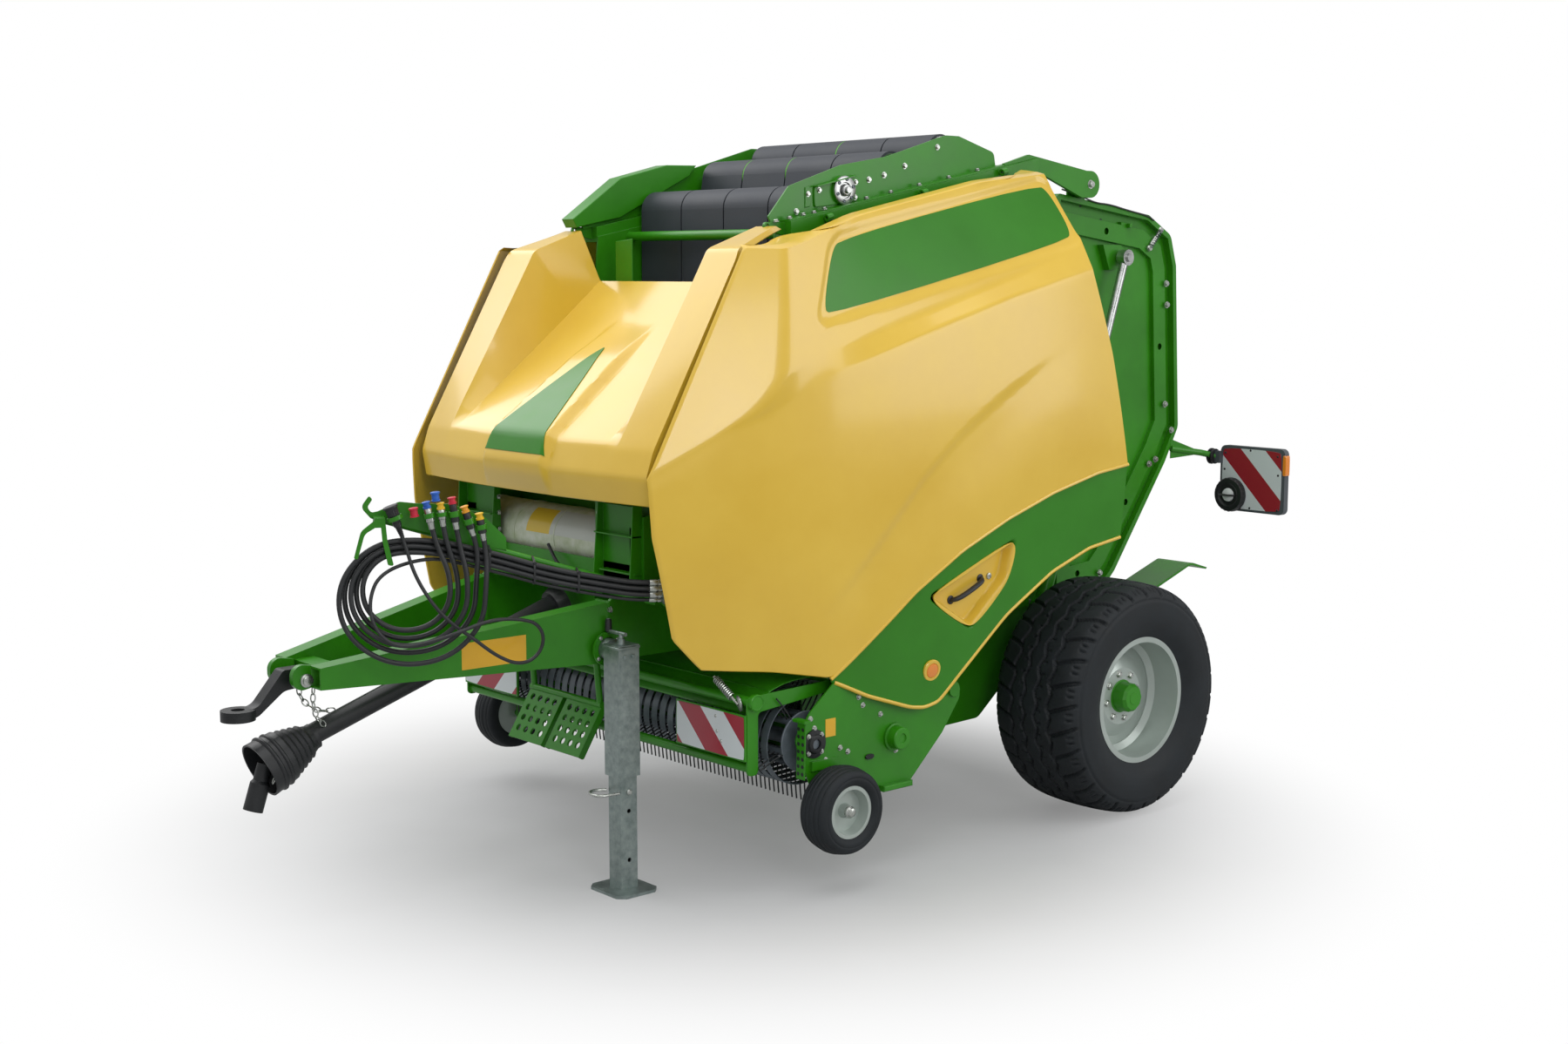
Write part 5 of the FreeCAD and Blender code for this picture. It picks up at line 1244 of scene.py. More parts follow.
tower = {
    # roller centre (y, z), ring radius, and the middle and width of each ring
    "rings": [((0.343, 2.885), 0.0846, (-0.586, 0.024)), ((0.343, 2.885), 0.0846, (-0.308, 0.030)),
              ((0.343, 2.885), 0.0846, (-0.006, 0.036)), ((0.646, 2.970), 0.0846, (-0.006, 0.036))],
    "ringInner": 0.080,
    "bearing": (0.674, -0.008, 2.792),
    "bearingProfile": [(0, 0.020), (0, 0.057), (0.004, 0.060), (0.010, 0.060), (0.012, 0.056),
                       (0.012, 0.034),
                       (0.006, 0.031), (0.006, 0.026), (0.022, 0.024), (0.024, 0.020), (0.024, 0.015),
                       (0.034, 0.014), (0.036, 0.012), (0.036, 0)],
    "screw": [(0, 0), (0, 0.0075), (0.003, 0.0075), (0.004, 0.006), (0.001, 0.004), (0.001, 0)],
    "screwTurns": (20, 80, 140, 200, 260, 320),
    "screwCircle": 0.046,
    "bracket": [(-0.168, 2.806), (0.058, 2.858), (0.086, 2.842), (0.080, 2.752), (-0.165, 2.716)],
    # a narrow plate in front of the bearing's bracket
    "strip": [(-0.214, 2.716), (-0.184, 2.722), (-0.184, 2.806), (-0.214, 2.800)],
    "bracketBolts": [(0.664, -0.199, 2.773), (0.668, -0.140, 2.790), (0.668, 0.066, 2.828),
                     (0.668, 0.062, 2.765)],
    # (y, z) of the housing on the right-hand plate
    "housing": [(-0.470, 2.690), (-0.448, 2.652), (-0.300, 2.682), (-0.205, 2.700), (0.200, 2.900),
                (0.245, 2.952), (0.070, 2.948), (-0.200, 2.880)],
    "housingX": (-0.716, -0.625),
    # (x, z) of a cross plate, and how far each one lies to the side
    "crossPlate": [(0, 2.400), (0.125, 2.400), (0.125, 2.600), (0, 2.590)],
    "crossPlateX": (-0.475, 0.350),
}


def makeTower():
    inner = tower["ringInner"]
    rings = [revolve([(-width / 2, inner), (-width / 2, radius), (width / 2, radius), (width / 2, inner)],
                     (middle, *centre), steps=72, closed=True)
             for centre, radius, (middle, width) in tower["rings"]]
    # the rings' lighter green is a painted highlight on the rollers' lit crests
    makePiece("beltRings", joinShapes(rings), "ringGreenPaintedHighlight", "chassis")
    x, y, z = tower["bearing"]
    makePair("towerBearings", revolve(tower["bearingProfile"], (x, y, z), steps=56), "machinedSteel",
             "chassis", 30)
    places = boltCircle((x + 0.012, y, z), tower["screwCircle"], np.radians(tower["screwTurns"]))
    sockets = copies(revolve(tower["screw"], (0, 0, 0), (1, 0, 0), 14), places)
    makePair("bearingScrews", sockets, "darkSteel", "chassis", 30)
    plate = slab(roundedOutline(tower["bracket"], 0.010), "x", 0.659, 0.668)
    front, rear = tower["bracket"][:2]
    flange = np.array([(0.660, *front), (0.660, *rear), (0.690, *rear), (0.690, *front)])
    lip = gridShape(np.stack([flange, flange - (0, 0, 0.005)]), wrapColumns=True, caps=True)
    strip = slab(tower["strip"], "x", 0.659, 0.664)
    makePair("bearingBrackets", joinShapes([plate, lip, strip]), "powderCoatGreen", "chassis")
    makePair("bracketBolts", bolts(tower["bracketBolts"], (1, 0, 0), 0.008), "zincPlate", "chassis", 30)
    makePiece("towerHousing", slab(tower["housing"], "x", *tower["housingX"], 0.003), "powderCoatGreen",
              "chassis")
    plates = [slab([(x + across, up) for across, up in tower["crossPlate"]], "y", -0.345, -0.339)
              for x in tower["crossPlateX"]]
    makePiece("crossPlates", joinShapes(plates), "powderCoatGreen", "chassis")


makeTower()
print("tower made")

# ---- tailgate: latch, lugs, sensor cable and boss screws ----

gate = {
    "latch": ((0.650, 2.122, 2.655), (0.650, 2.040, 2.566)),
    "cable": [(0.662, 1.380, 2.832), (0.664, 1.500, 2.808), (0.662, 1.620, 2.774), (0.663, 1.720, 2.770),
              (0.662, 1.860, 2.744), (0.661, 2.010, 2.722), (0.660, 2.060, 2.700)],
    # (y, z) of holes in the plate, each shown as a black disc of painted shade, and the disc's profile
    "holes": [(1.710, 2.698), (1.752, 2.550), (2.020, 2.640), (1.560, 2.760)],
    "hole": [(-0.001, 0), (-0.001, 0.007), (0.0005, 0.007), (0.0005, 0)],
    # profiles of the latch's ends and of its cylinder, and the lug's two plates in (y, z)
    "latchEnd": [(-0.008, 0), (-0.008, 0.014), (0.004, 0.016), (0.012, 0.012), (0.012, 0)],
    "latchBody": [(0.020, 0), (0.020, 0.010), (0.026, 0.012), (0.070, 0.012), (0.076, 0.008), (0.076, 0)],
    "lug": [(1.840, 2.660), (1.896, 2.656), (1.896, 2.684), (1.840, 2.690)],
    "lugTab": ((1.878, 2.662), (1.896, 2.682)),
    "boss": (0.707, 1.529, 2.857),
}


def spring(start, end, coil, wire, turns):
    # a helix: start + s (end - start) + coil (cos, sin), carried round the turns
    start, end = np.asarray(start, float), np.asarray(end, float)
    _, first, second = crossAxes(end - start)
    share = np.linspace(0, 1, turns * 10 + 1)[:, None]
    angle = share * turns * 2 * np.pi
    path = start + (end - start) * share + coil * (np.cos(angle) * first + np.sin(angle) * second)
    return sweep(path, circle(wire, 6), up=end - start)


def makeTailgate():
    high, low = gate["latch"]
    ends = [revolve(gate["latchEnd"], place, steps=20) for place in (low, high)]
    body = turned(gate["latchBody"], low, high)
    latch = joinShapes(ends + [tube([low, high], 0.006), body])
    makePair("gateLatches", latch, "zincPlate", "tailgate", 30)
    aside = (0.012, 0, 0)
    coil = spring(np.add(low, aside), np.add(high, aside), 0.008, 0.0016, 9)
    makePair("gateSprings", coil, "darkSteel", "tailgate")
    makePair("gateCables", tube(gate["cable"], 0.004, 8), "hoseRubber", "tailgate")
    lug = [slab(gate["lug"], "x", 0.619, 0.640), slab(fourCorners(*gate["lugTab"]), "x", 0.640, 0.662)]
    makePair("gateLugs", joinShapes(lug), "powderCoatGreen", "tailgate")
    # black discs on the plate stand in for its holes: painted shade where the holes' dark insides would be
    holes = [(0.6203, y, z) for y, z in gate["holes"]]
    dark = copies(revolve(gate["hole"], (0, 0, 0), (1, 0, 0), 14), holes)
    makePair("gateHoleShade", dark, "castBlack", "tailgate")
    makePair("bossScrews", bolts([gate["boss"]], (1, 0, 0), 0.014), "zincPlate", "chassis", 30)


makeTailgate()
print("tailgate details made")

# ---- wheels: hub caps and nuts ----

hub = {
    "cap": [(0.050, 0.060), (0.052, 0.076), (0.092, 0.076), (0.094, 0.068), (0.132, 0.066), (0.150, 0.066),
            (0.163, 0.054), (0.164, 0.030), (0.166, 0.028), (0.166, 0)],
    "nutCircle": 0.105,
    "nuts": 8,
}


def makeHubs():
    x, y, z = tyre["centre"]
    cap = revolve(hub["cap"], (x, y, z), steps=80, wave=lobes(10, 0.055, 0.14, 0.165))
    turn = np.arange(hub["nuts"]) * 2 * np.pi / hub["nuts"] + 0.2
    nuts = bolts(boltCircle((x + 0.091, y, z), hub["nutCircle"], turn), (1, 0, 0), 0.012)
    makeEachSide("hubCap", cap, "powderCoatGreen", "wheel", sharpAngle=25)
    makeEachSide("wheelNuts", nuts, "zincPlate", "wheel", sharpAngle=30)


makeHubs()
print("hubs made")

# ---- side hood pocket with its handle, and the round reflector ----


def layered(flat, top, low):
    # a closed sheet over rings that run from an outline to its middle, between two heights off the cover
    return gridShape(np.concatenate([onHood(flat[::-1], top[::-1]), onHood(flat, low)]), wrapColumns=True)


def makePockets():
    outline = spaceEvenly(roundedOutline(pocket["outline"], 0.040), 220, closed=True)
    outline = spaceEvenly(inset(outline, -pocket["rim"]), 220, closed=True)
    centre = np.mean(pocket["outline"], 0)
    share = np.concatenate([np.linspace(1, 0.70, 22), np.linspace(0.66, 0, 7)])[:, None, None]
    flat = centre + (outline[None] - centre) * share
    base = -sideHood["bandDepth"] - pocketDepth(flat[..., 0], flat[..., 1], pocket["depth"], 0.0)
    makeEachSide("pocket", layered(flat, base + 0.003, base - 0.002), "glossCoverYellow", "side_hood")
    (y0, z0), (y1, z1) = pocket["handle"]
    share = np.array([0, 0.02, 0.14, 0.5, 0.86, 0.98, 1])
    rise = np.array([0, 0.45, 0.9, 1, 0.9, 0.45, 0]) * pocket["handleRise"]
    line = np.stack([y0 + (y1 - y0) * share, z0 + (z1 - z0) * share], -1)
    floor = -sideHood["bandDepth"] - pocket["depth"] + 0.002
    path = cutCorners(onHood(line, floor + rise), 3)
    wide = 1 + 0.35 * np.sin(np.pi * np.linspace(0, 1, len(path)))
    grip = sweep(path, circle(0.010, 14) * [0.8, 1.0], up=(1, 0, 0), scale=wide)
    feet = [revolve(pocket["foot"], onHood(end, floor), steps=28) for end in (line[0], line[-1])]
    makeEachSide("pocketHandle", joinShapes([grip] + feet), "blackPlastic", "side_hood")
    lock = onHood(np.array(pocket["lock"]), floor)
    makeEachSide("pocketLock", revolve(pocket["lockProfile"], lock, steps=28), "zincPlate", "side_hood")
    place = onHood(np.array(pocket["reflector"]), -sideHood["bandDepth"])
    for name, profile, finishName in (("reflectorRing", "ring", "glossCoverYellow"),
                                      ("reflectorLens", "lens", "amberLens")):
        part = revolve(pocket[profile], place, pocket["reflectorAxis"], 48)
        makeEachSide(name, part, finishName, "side_hood")


makePockets()
print("pockets and reflectors made")

# ---- front hood: the plain green triangle on its hump ----

decal = {
    "low": 0.122,                      # share up the hood at its base and at its apex
    "high": 0.628,
    "half": 0.215,
    "lift": 0.0030,
}


def makeDecal():
    # half width = half (1 - s) + 0.03 sqrt(1 - s) s, so that the sides bow out and the apex is round
    s = 1 - np.linspace(1, 0.03, 60)[:, None] ** 2
    half = decal["half"] * (1 - s) + 0.030 * np.sqrt(1 - s) * s
    x = half * np.linspace(-1, 1, 41)[None, :]
    v = decal["low"] + (decal["high"] - decal["low"]) * s + 0 * x
    grid = frontHoodPoint(v, x * 0.56 / frontHood["rampOuter"])
    outward = unit(np.cross(np.gradient(grid, axis=1), np.gradient(grid, axis=0)))
    outward = outward * np.sign(outward[..., 2:])
    makePiece("frontTriangle", shell(grid + outward * decal["lift"], 0.002, -outward), "glossFilmGreen",
              "front_hood")


makeDecal()
print("front triangle made")

# ---- under the front hood: net roll label, posts, ribs and a flange ----

netBay = {
    "roll": (-0.905, 1.345, 0.1262),   # y, z and radius
    "label": [(-0.205, -0.035, "labelYellow"), (-0.035, 0.320, "labelGrey")],
    "labelTurn": (8, 62),              # degrees up from the front
    # a wrap of film round the roll as (distance, height over the roll), and the core's tube
    "wrap": [(0, -0.004), (0, 0.0012), (0.004, 0.0016), (0.008, 0.0012), (0.008, -0.004)],
    "wraps": (-0.60, 0.592, 5),
    "core": [(0, 0.030), (0, 0.045), (0.020, 0.045), (0.020, 0.030)],
    "coreX": 0.612,
    # plates beside the roll: outline, axis across it, and both its faces
    "plates": [
        ([(0.380, 1.418), (0.636, 1.418), (0.636, 1.424), (0.380, 1.424)], "y", -1.096, -1.044),
        ([(0.400, 1.268), (0.640, 1.268), (0.640, 1.274), (0.400, 1.274)], "y", -1.086, -1.044),
        ([(-1.100, 1.240), (-1.044, 1.240), (-1.044, 1.540), (-1.074, 1.540)], "x", 0.376, 0.382),
        ([(-1.110, 1.200), (-1.044, 1.200), (-1.044, 1.545), (-1.090, 1.545)], "x", 0.630, 0.636),
        ([(0.378, 1.190), (0.634, 1.190), (0.634, 1.535), (0.378, 1.535)], "y", -1.050, -1.044)],
    "rail": ([(-0.640, 1.176), (0.640, 1.176), (0.640, 1.182), (-0.640, 1.182)], "y", -1.082, -1.050),
    "lever": [(0.020, -1.070, 1.330), (0.100, -1.085, 1.262), (0.160, -1.080, 1.236),
              (0.230, -1.070, 1.230)],
}


def makeNetBay():
    y, z, radius = netBay["roll"]
    turn = np.radians(np.linspace(*netBay["labelTurn"], 20))[:, None]
    for x0, x1, finishName in netBay["label"]:
        x = np.linspace(x0, x1, 6)[None, :] + 0 * turn
        ring = np.stack([0 * x, y - radius * np.cos(turn) + 0 * x, z + radius * np.sin(turn) + 0 * x], -1)
        outward = unit(ring - (0, y, z))
        grid = ring + np.stack([x, 0 * x, 0 * x], -1)
        makePiece("netLabel_" + finishName, shell(grid, 0.0012, -outward), finishName, "chassis")
    wrap = [(d, radius + lift) for d, lift in netBay["wrap"]]
    wraps = [revolve(wrap, (x, y, z), steps=80, closed=True) for x in np.linspace(*netBay["wraps"])]
    core = bothSides(revolve(netBay["core"], (netBay["coreX"], y, z), closed=True))
    makePiece("netWraps", joinShapes(wraps + [core]), "netFilm", "chassis")
    plates = bothSides(joinShapes([slab(*plate, 0.001) for plate in netBay["plates"]]))
    makePiece("netBrackets", joinShapes([plates, slab(*netBay["rail"], 0.001)]), "powderCoatGreen",
              "chassis")
    makePiece("netLever", tube(netBay["lever"], 0.007, 10), "blackPlastic", "chassis")


makeNetBay()
print("net bay made")

# ---- drawbar: chain, blank plates and front pins ----


def chain(path, size=0.018, wire=0.0028):
    # oval links along a path, each turned a quarter from the one before
    length = np.sum(np.linalg.norm(np.diff(path, axis=0), axis=1))
    path = spaceEvenly(cutCorners(path, 3), max(3, int(length / (size * 1.35))))
    ahead = unit(np.gradient(path, axis=0))
    shapes = []
    for number, (place, axis) in enumerate(zip(path, ahead)):
        _, first, second = crossAxes(axis)
        side = first if number % 2 else second
        turn = np.linspace(0, 2 * np.pi, 12, endpoint=False)[:, None]
        ring = place + np.cos(turn) * axis * size + np.sin(turn) * side * size * 0.55
        shapes.append(sweep(ring, circle(wire, 5), up=np.cross(axis, side), closed=True))
    return joinShapes(shapes)


drawbarParts = {
    # y, and z at the bottom and top, of the ends of a blank plate on the drawbar's outer face
    "sidePlate": ((-1.690, 0.925, 1.030), (-1.440, 0.940, 1.045)),
    "outerX": (0.180, -2.215, 0.281),  # x at the front, the front's y, and the rise of x per metre of y
    "chains": [[(0.060, -2.180, 0.905), (0.062, -2.190, 0.830), (0.055, -2.170, 0.760),
                (0.045, -2.140, 0.735)],
               [(-0.060, -2.180, 0.905), (-0.066, -2.180, 0.820), (-0.055, -2.110, 0.760),
                (-0.042, -2.060, 0.760)],
               [(0.075, -2.330, 0.660), (0.085, -2.345, 0.600), (0.080, -2.365, 0.560)]],
    "pin": [(-0.004, 0), (-0.004, 0.026), (0.006, 0.026), (0.010, 0.020), (0.018, 0.020), (0.020, 0.016),
            (0.020, 0)],
    "pinPlace": (0.106, -2.235, 0.925),
    "plateBolt": (0.500, -1.104, 1.120),
}


def makeDrawbarParts():
    x0, y0, rise = drawbarParts["outerX"]
    grid = np.array([[(x0 + (y - y0) * rise + 0.0015, y, z) for z in np.linspace(low, high, 4)]
                     for y, low, high in drawbarParts["sidePlate"]])
    makePair("sidePlates", shell(grid, 0.001), "labelAmber", "chassis")
    makePiece("chains", joinShapes([chain(path) for path in drawbarParts["chains"]]), "zincPlate", "chassis")
    pin = revolve(drawbarParts["pin"], drawbarParts["pinPlace"], steps=32)
    makePair("hitchPins", pin, "zincPlate", "chassis", 30)
    makePair("drawbarBolts", bolts([drawbarParts["plateBolt"]], (0, -1, 0), 0.010), "zincPlate", "chassis",
             30)


makeDrawbarParts()
print("drawbar details made")

# ---- jack: swivel flange, crank grip, top band and locking pin ----

jack = {
    "centre": (0.605, -1.130),
    "pivotZ": 0.966,
    "flange": [(0, 0.046), (0, 0.068), (0.010, 0.068), (0.010, 0.046)],
    "flangeX": 0.506,
    "boltX": 0.516,
    "boltCircle": 0.058,
    "boltTurns": (0.6, 2.2, 3.8, 5.4),     # radians
    "grip": [(0, 0), (0, 0.011), (0.004, 0.014), (0.040, 0.014), (0.050, 0.012), (0.054, 0.006), (0.055, 0)],
    "gripPlace": (-0.084, 1.036),          # across from the leg's middle, and up
    "collar": [(0, 0.010), (0, 0.017), (0.020, 0.015), (0.022, 0.010)],
    "collarZ": 1.000,
    "bandHalf": 0.056,
    "bandZ": (0.985, 0.995),
    "screws": [(0.0505, -0.020), (0.0505, 0.020)],
    "screwZ": 0.955,
    # the locking pin's ring, from the leg's middle, and the pin's profile
    "bow": [(-0.046, -0.046, 0.408), (-0.070, -0.085, 0.408), (-0.060, -0.128, 0.406),
            (0.010, -0.130, 0.404),
            (0.030, -0.085, 0.408), (0.036, -0.044, 0.408)],
    "pin": [(-0.052, 0), (-0.052, 0.010), (-0.040, 0.012), (0.046, 0.012), (0.050, 0.008), (0.050, 0)],
    "pinZ": 0.408,
}


def makeJack():
    (x, y), z = jack["centre"], jack["pivotZ"]
    ring = revolve(jack["flange"], (jack["flangeX"], y, z), steps=64, closed=True)
    makePiece("jackFlange", ring, "powderCoatGreen", "chassis", sharpAngle=30)
    places = boltCircle((jack["boltX"], y, z), jack["boltCircle"], np.array(jack["boltTurns"]))
    makePiece("jackFlangeBolts", bolts(places, (1, 0, 0), 0.006), "zincPlate", "chassis", sharpAngle=30)
    across, up = jack["gripPlace"]
    grip = revolve(jack["grip"], (x + across, y, up), (0, 0, 1), 24)
    makePiece("jackGrip", grip, "blackPlastic", "jack", sharpAngle=30)
    collar = revolve(jack["collar"], (x, y, jack["collarZ"]), (0, 0, 1), 24, closed=True)
    half = jack["bandHalf"]
    band = slab(rectangle((x - half, y - half), (x + half, y + half), 0.006), "z", *jack["bandZ"])
    screws = bolts([(x + a, y + b, jack["screwZ"]) for a, b in jack["screws"]], (1, 0, 0), 0.007)
    makePiece("jackCollar", joinShapes([collar, screws, band]), "galvanisedSteel", "jack", sharpAngle=30)
    bow = tube([(x + a, y + b, c) for a, b, c in jack["bow"]], 0.006, 10)
    pin = revolve(jack["pin"], (x, y, jack["pinZ"]), (1, 0, 0), 20)
    makePiece("jackClamp", joinShapes([bow, pin]), "zincPlate", "jack", sharpAngle=30)


makeJack()
print("jack details made")

# ---- pickup: baffle, gauge tyres and caps, bearings, springs, arms and wall fittings ----

pickup = {
    "baffle": [(-0.784, 0.730), (-0.760, 0.772), (-0.700, 0.812), (-0.600, 0.838), (-0.440, 0.842)],
    "gaugeCentre": (1.188, -0.482, 0.331),
    "gaugeProfile": [(-0.044, 0.103), (-0.060, 0.106), (-0.072, 0.125), (-0.073, 0.145), (-0.068, 0.160),
                     (-0.060, 0.1675), (-0.050, 0.1705), (-0.047, 0.1665), (-0.044, 0.1715),
                     (-0.028, 0.1755),
                     (-0.025, 0.1700), (-0.021, 0.1765), (-0.004, 0.1795), (0.000, 0.1735), (0.004, 0.1795),
                     (0.021, 0.1765), (0.025, 0.1700), (0.028, 0.1755), (0.044, 0.1715), (0.047, 0.1665),
                     (0.050, 0.1705), (0.060, 0.1675), (0.068, 0.160), (0.073, 0.145), (0.070, 0.141),
                     (0.0725, 0.137), (0.072, 0.125), (0.060, 0.106), (0.044, 0.103)],
    "gaugeCap": [(0.041, 0), (0.041, 0.025), (0.052, 0.025), (0.056, 0.021), (0.064, 0.017), (0.068, 0.009),
                 (0.069, 0)],
    "ribs": ((-0.784, 0.728), (-0.700, 0.812)),     # (y, z) of the bars along the baffle
    "ribHalf": 0.004,
    "wallX": 1.088,
    "bearing": (-0.540, 0.590),
    "bearingProfile": [(0, 0.021), (0, 0.058), (0.006, 0.058), (0.008, 0.040), (0.016, 0.036),
                       (0.018, 0.030),
                       (0.018, 0.021)],
    "bearingBolts": (1.094, 0.049, (45, 135, 225, 315)),     # x, circle, degrees
    # the spring's coil and rod from end to end, and the cup at its foot
    "coil": ((0.817, -0.822, 0.850), (0.918, -0.822, 0.790)),
    "rod": [(0.805, -0.822, 0.857), (0.955, -0.822, 0.768)],
    "cup": [(0, 0), (0, 0.030), (0.003, 0.033), (0.006, 0.033), (0.009, 0.024), (0.010, 0)],
    "cupLine": ((0.955, -0.812, 0.772), (0.935, -0.862, 0.762)),
    "arm": [(1.100, 0.470), (1.150, 0.470), (1.156, 0.700), (1.110, 0.700)],
    "armTop": ((1.096, 0.700), (1.170, 0.712)),
    # the black disc that stands in for each hole in the gauge arm, painted shade, and the holes' rows
    "hole": [(-0.001, 0), (-0.001, 0.008), (0.001, 0.008), (0.001, 0)],
    "holeX": (1.114, 1.138),
    "holeZ": (0.492, 0.69, 0.030),
    # fittings on the wall: (y, z) corners of the blank plate, the foot and the slot (a black block of
    # painted shade), and a boss
    "plate": ((-0.480, 0.606), (-0.425, 0.680)),
    "foot": ((-0.180, 0.334), (-0.014, 0.358)),
    "slot": ((-0.262, 0.478), (-0.214, 0.500)),
    "boss": [(0, 0), (0, 0.058), (0.010, 0.058), (0.012, 0.050), (0.050, 0.046), (0.054, 0.042),
             (0.054, 0.022),
             (0.048, 0.020), (0.048, 0)],
    "bossPlace": (-0.099, 0.551),
    "nose": [(0, 0), (0, 0.033), (0.012, 0.033), (0.015, 0.029), (0.012, 0.026), (0.012, 0)],
    "nosePlace": (1.033, -0.800, 0.786),
}


def makePickup():
    line = spaceEvenly(cutCorners(pickup["baffle"], 3), 40)
    x = np.linspace(-1.005, 1.005, 3)[None, :, None]
    grid = np.concatenate([x + 0 * line[:, None, :1], line[:, None, :] + 0 * x], -1)
    makePiece("guardBaffle", shell(grid, 0.004), "powderCoatGreen", "crop_guard")
    half = pickup["ribHalf"]
    ribs = [slab(fourCorners((y - half, z - half), (y + half, z + half)), "x", -1.0, 1.0, 0.001)
            for y, z in pickup["ribs"]]
    makePiece("baffleRibs", joinShapes(ribs), "powderCoatGreen", "crop_guard")
    tread = revolve(cutCorners(pickup["gaugeProfile"], 1, True), pickup["gaugeCentre"], steps=96,
                    closed=True)
    cap = revolve(pickup["gaugeCap"], pickup["gaugeCentre"], steps=32)
    makeEachSide("gaugeCap", cap, "zincPlate", "gauge_wheel", sharpAngle=30)
    makeEachSide("gaugeTread", tread, "tyreRubber", "gauge_wheel", 60, "gauge_tyre")
    wall = pickup["wallX"]
    flange = revolve(pickup["bearingProfile"], (wall, *pickup["bearing"]), steps=48, closed=True)
    makePair("reelBearings", flange, "castBlack", "pickup", 30)
    boltX, around, degrees = pickup["bearingBolts"]
    places = boltCircle((boltX, *pickup["bearing"]), around, np.radians(degrees))
    makePair("reelBearingBolts", bolts(places, (1, 0, 0), 0.007), "zincPlate", "pickup", 30)
    parts = [spring(*pickup["coil"], 0.014, 0.0030, 11), turned(pickup["cup"], *pickup["cupLine"]),
             tube(pickup["rod"], 0.006)]
    makePair("guardSprings", joinShapes(parts), "zincPlate", "crop_guard", 30)
    arm = slab(pickup["arm"], "y", -0.648, -0.642, 0.001)
    top = slab(fourCorners(*pickup["armTop"]), "y", -0.664, -0.630, 0.002)
    makePair("gaugeArms", joinShapes([arm, top]), "powderCoatGreen", "pickup")
    # black discs on the arm stand in for its row of holes: painted shade
    holes = [(x + 0.02 * (z - 0.5), -0.6475,
              z) for z in np.arange(*pickup["holeZ"]) for x in pickup["holeX"]]
    holeShadeDots = copies(revolve(pickup["hole"], (0, 0, 0), (0, -1, 0), 14), holes)
    makePair("gaugeArmHoleShade", holeShadeDots, "castBlack", "pickup")
    plate = slab(fourCorners(*pickup["plate"]), "x", wall + 0.0005, wall + 0.0015, 0.0003)
    makePair("wallPlates", plate, "labelAmber", "pickup")
    foot = slab(fourCorners(*pickup["foot"]), "x", 1.070, 1.120, 0.004)
    boss = revolve(pickup["boss"], (wall, *pickup["bossPlace"]), steps=40)
    makePair("wallBosses", joinShapes([foot, boss]), "powderCoatGreen", "pickup", 30)
    # a black rounded block on the wall stands in for a slot: painted shade
    slot = slab(rectangle(*pickup["slot"], 0.008), "x", wall, wall + 0.008, 0.002)
    makePair("wallSlotShade", slot, "castBlack", "pickup", 30)
    nose = revolve(pickup["nose"], pickup["nosePlace"], steps=40)
    makePair("guardBosses", nose, "powderCoatGreen", "crop_guard", 30)


makePickup()
print("pickup details made")

# ---- drive shaft: ribs of the front bellows ----

bellows = {
    "rear": (-2.187, 0.668),                 # y, z of the cone's axis, and of its mouth
    "mouth": (-2.384, 0.582),
    "ribs": [(0.002, 0.070), (0.026, 0.079), (0.050, 0.087), (0.074, 0.095), (0.098, 0.103), (0.128, 0.112),
             (0.158, 0.116)],          # distance along the axis, radius
}


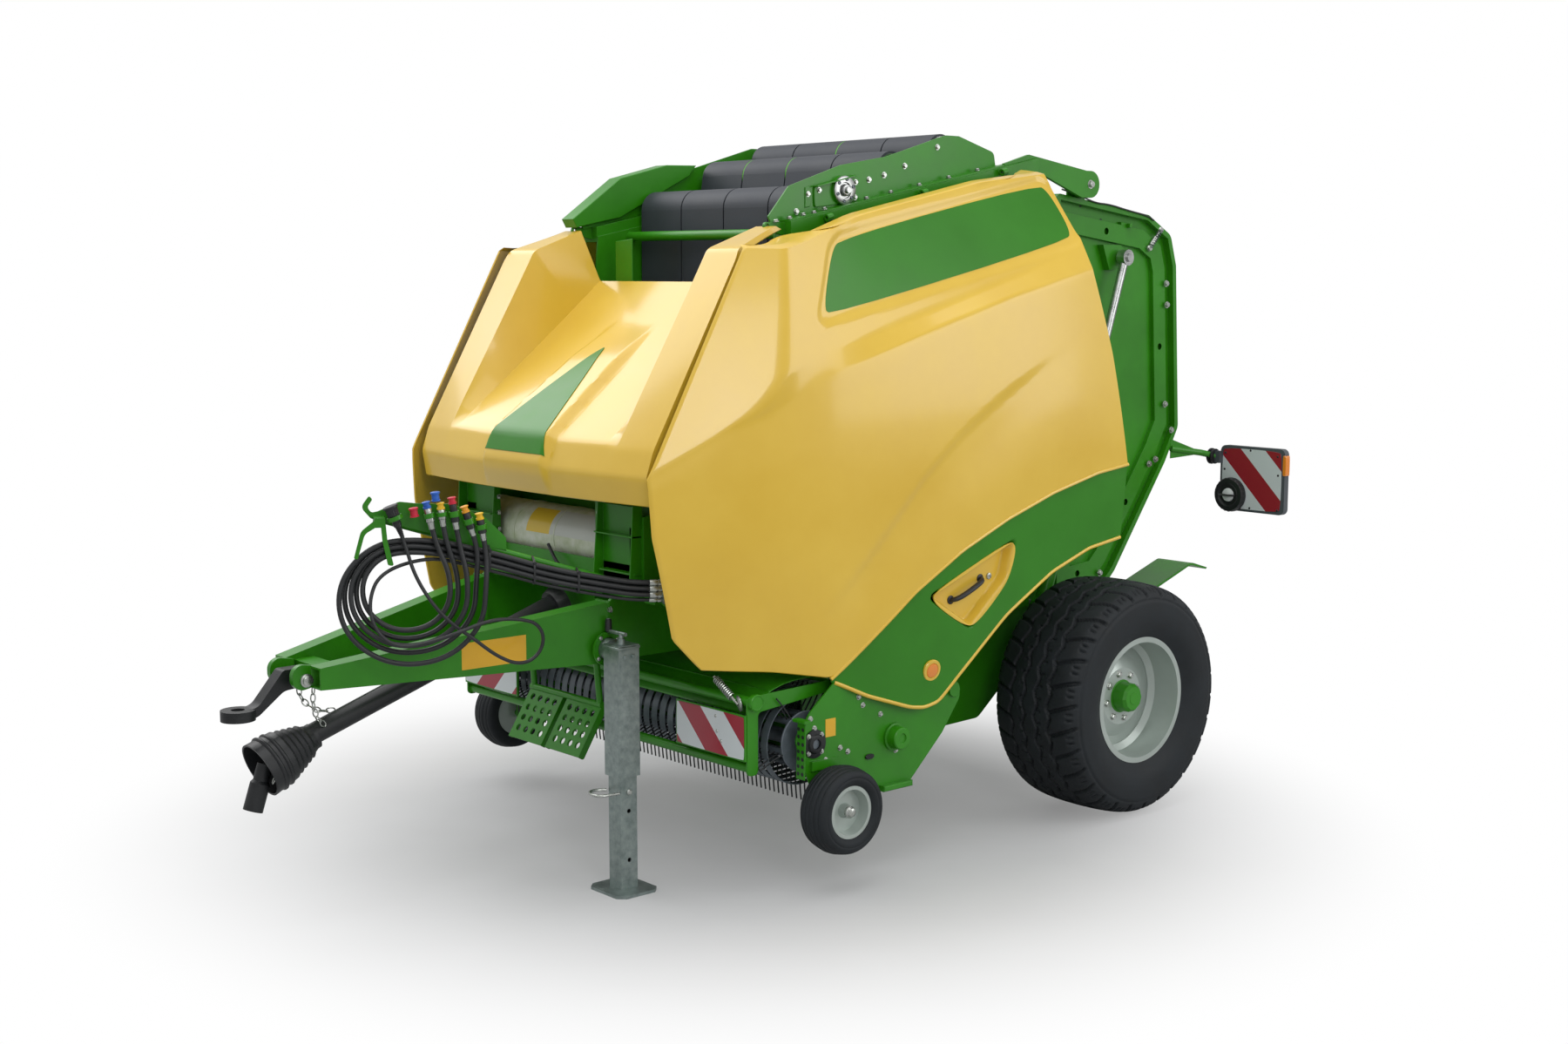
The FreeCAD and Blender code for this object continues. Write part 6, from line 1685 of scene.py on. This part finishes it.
def makeBellows():
    # each rib is a soft ridge over the cone: radius r at its crest, r - 0.014 at both feet
    start, end = np.array([0, *bellows["rear"]]), np.array([0, *bellows["mouth"]])
    ribs = [turned([(d, r - 0.016), (d + 0.003, r - 0.004), (d + 0.008, r), (d + 0.013, r),
                    (d + 0.018, r - 0.004),
                    (d + 0.021, r - 0.016)], start, end, 64) for d, r in bellows["ribs"]]
    collar = turned([(-0.034, 0.040), (-0.034, 0.052), (-0.020, 0.052), (-0.018, 0.040)], start, end, 48)
    makePiece("bellowsRibs", joinShapes(ribs + [collar]), "blackPlastic", "chassis", sharpAngle=60)


makeBellows()
print("bellows made")

# ---- tine reel ----

reel = {
    "centre": (-0.540, 0.590),
    "bars": 5,
    "pitch": 0.055,
    "count": 38,
    # a tine from its coil outward, in (radius, how far it trails)
    "tine": [(0.105, 0.0), (0.165, -0.002), (0.215, 0.002), (0.246, 0.006)],
    "rodCircle": 0.105,
    "rodHalf": 1.030,
    "pairHalf": 0.01375,               # a tine's two wires lie this far each side of its place
    # profiles of (x, radius)
    "shaft": [(-1.096, 0), (-1.096, 0.020), (-1.050, 0.020), (-1.050, 0.030), (1.050, 0.030), (1.050, 0.020),
              (1.096, 0.020), (1.096, 0)],
    "disc": [(1.025, 0.020), (1.025, 0.123), (1.027, 0.125), (1.033, 0.125), (1.035, 0.123), (1.035, 0.020)],
}


def makeReel():
    base = np.array([0, *reel["centre"]])
    shaft = revolve(reel["shaft"], base, steps=32)
    disc = revolve(reel["disc"], base, steps=64, closed=True)
    rods, tines = [], []
    x = (np.arange(reel["count"]) - (reel["count"] - 1) / 2) * reel["pitch"]
    for turn in np.arange(reel["bars"]) * 2 * np.pi / reel["bars"] - np.pi / 2:
        out = np.array([0, np.cos(turn), np.sin(turn)])
        trail = np.array([0, -np.sin(turn), np.cos(turn)])
        middle = base + out * reel["rodCircle"]
        rods.append(tube([middle - (reel["rodHalf"], 0, 0), middle + (reel["rodHalf"], 0, 0)], 0.014, 12,
                         out))
        for shift in (-reel["pairHalf"], reel["pairHalf"]):
            line = [base + out * r + trail * t + (shift, 0, 0) for r, t in reel["tine"]]
            wire = tube(line, 0.0035, 6, (1, 0, 0), 2)
            tines.append(copies(wire, np.stack([x, 0 * x, 0 * x], -1)))
    makePiece("reelTines", joinShapes(tines), "castBlack", "tine_reel", replaced=["tine_reel"])
    makePiece("reelFrame", joinShapes([shaft, bothSides(disc)] + rods), "darkSteel", "tine_reel")


makeReel()
print("tine reel made")
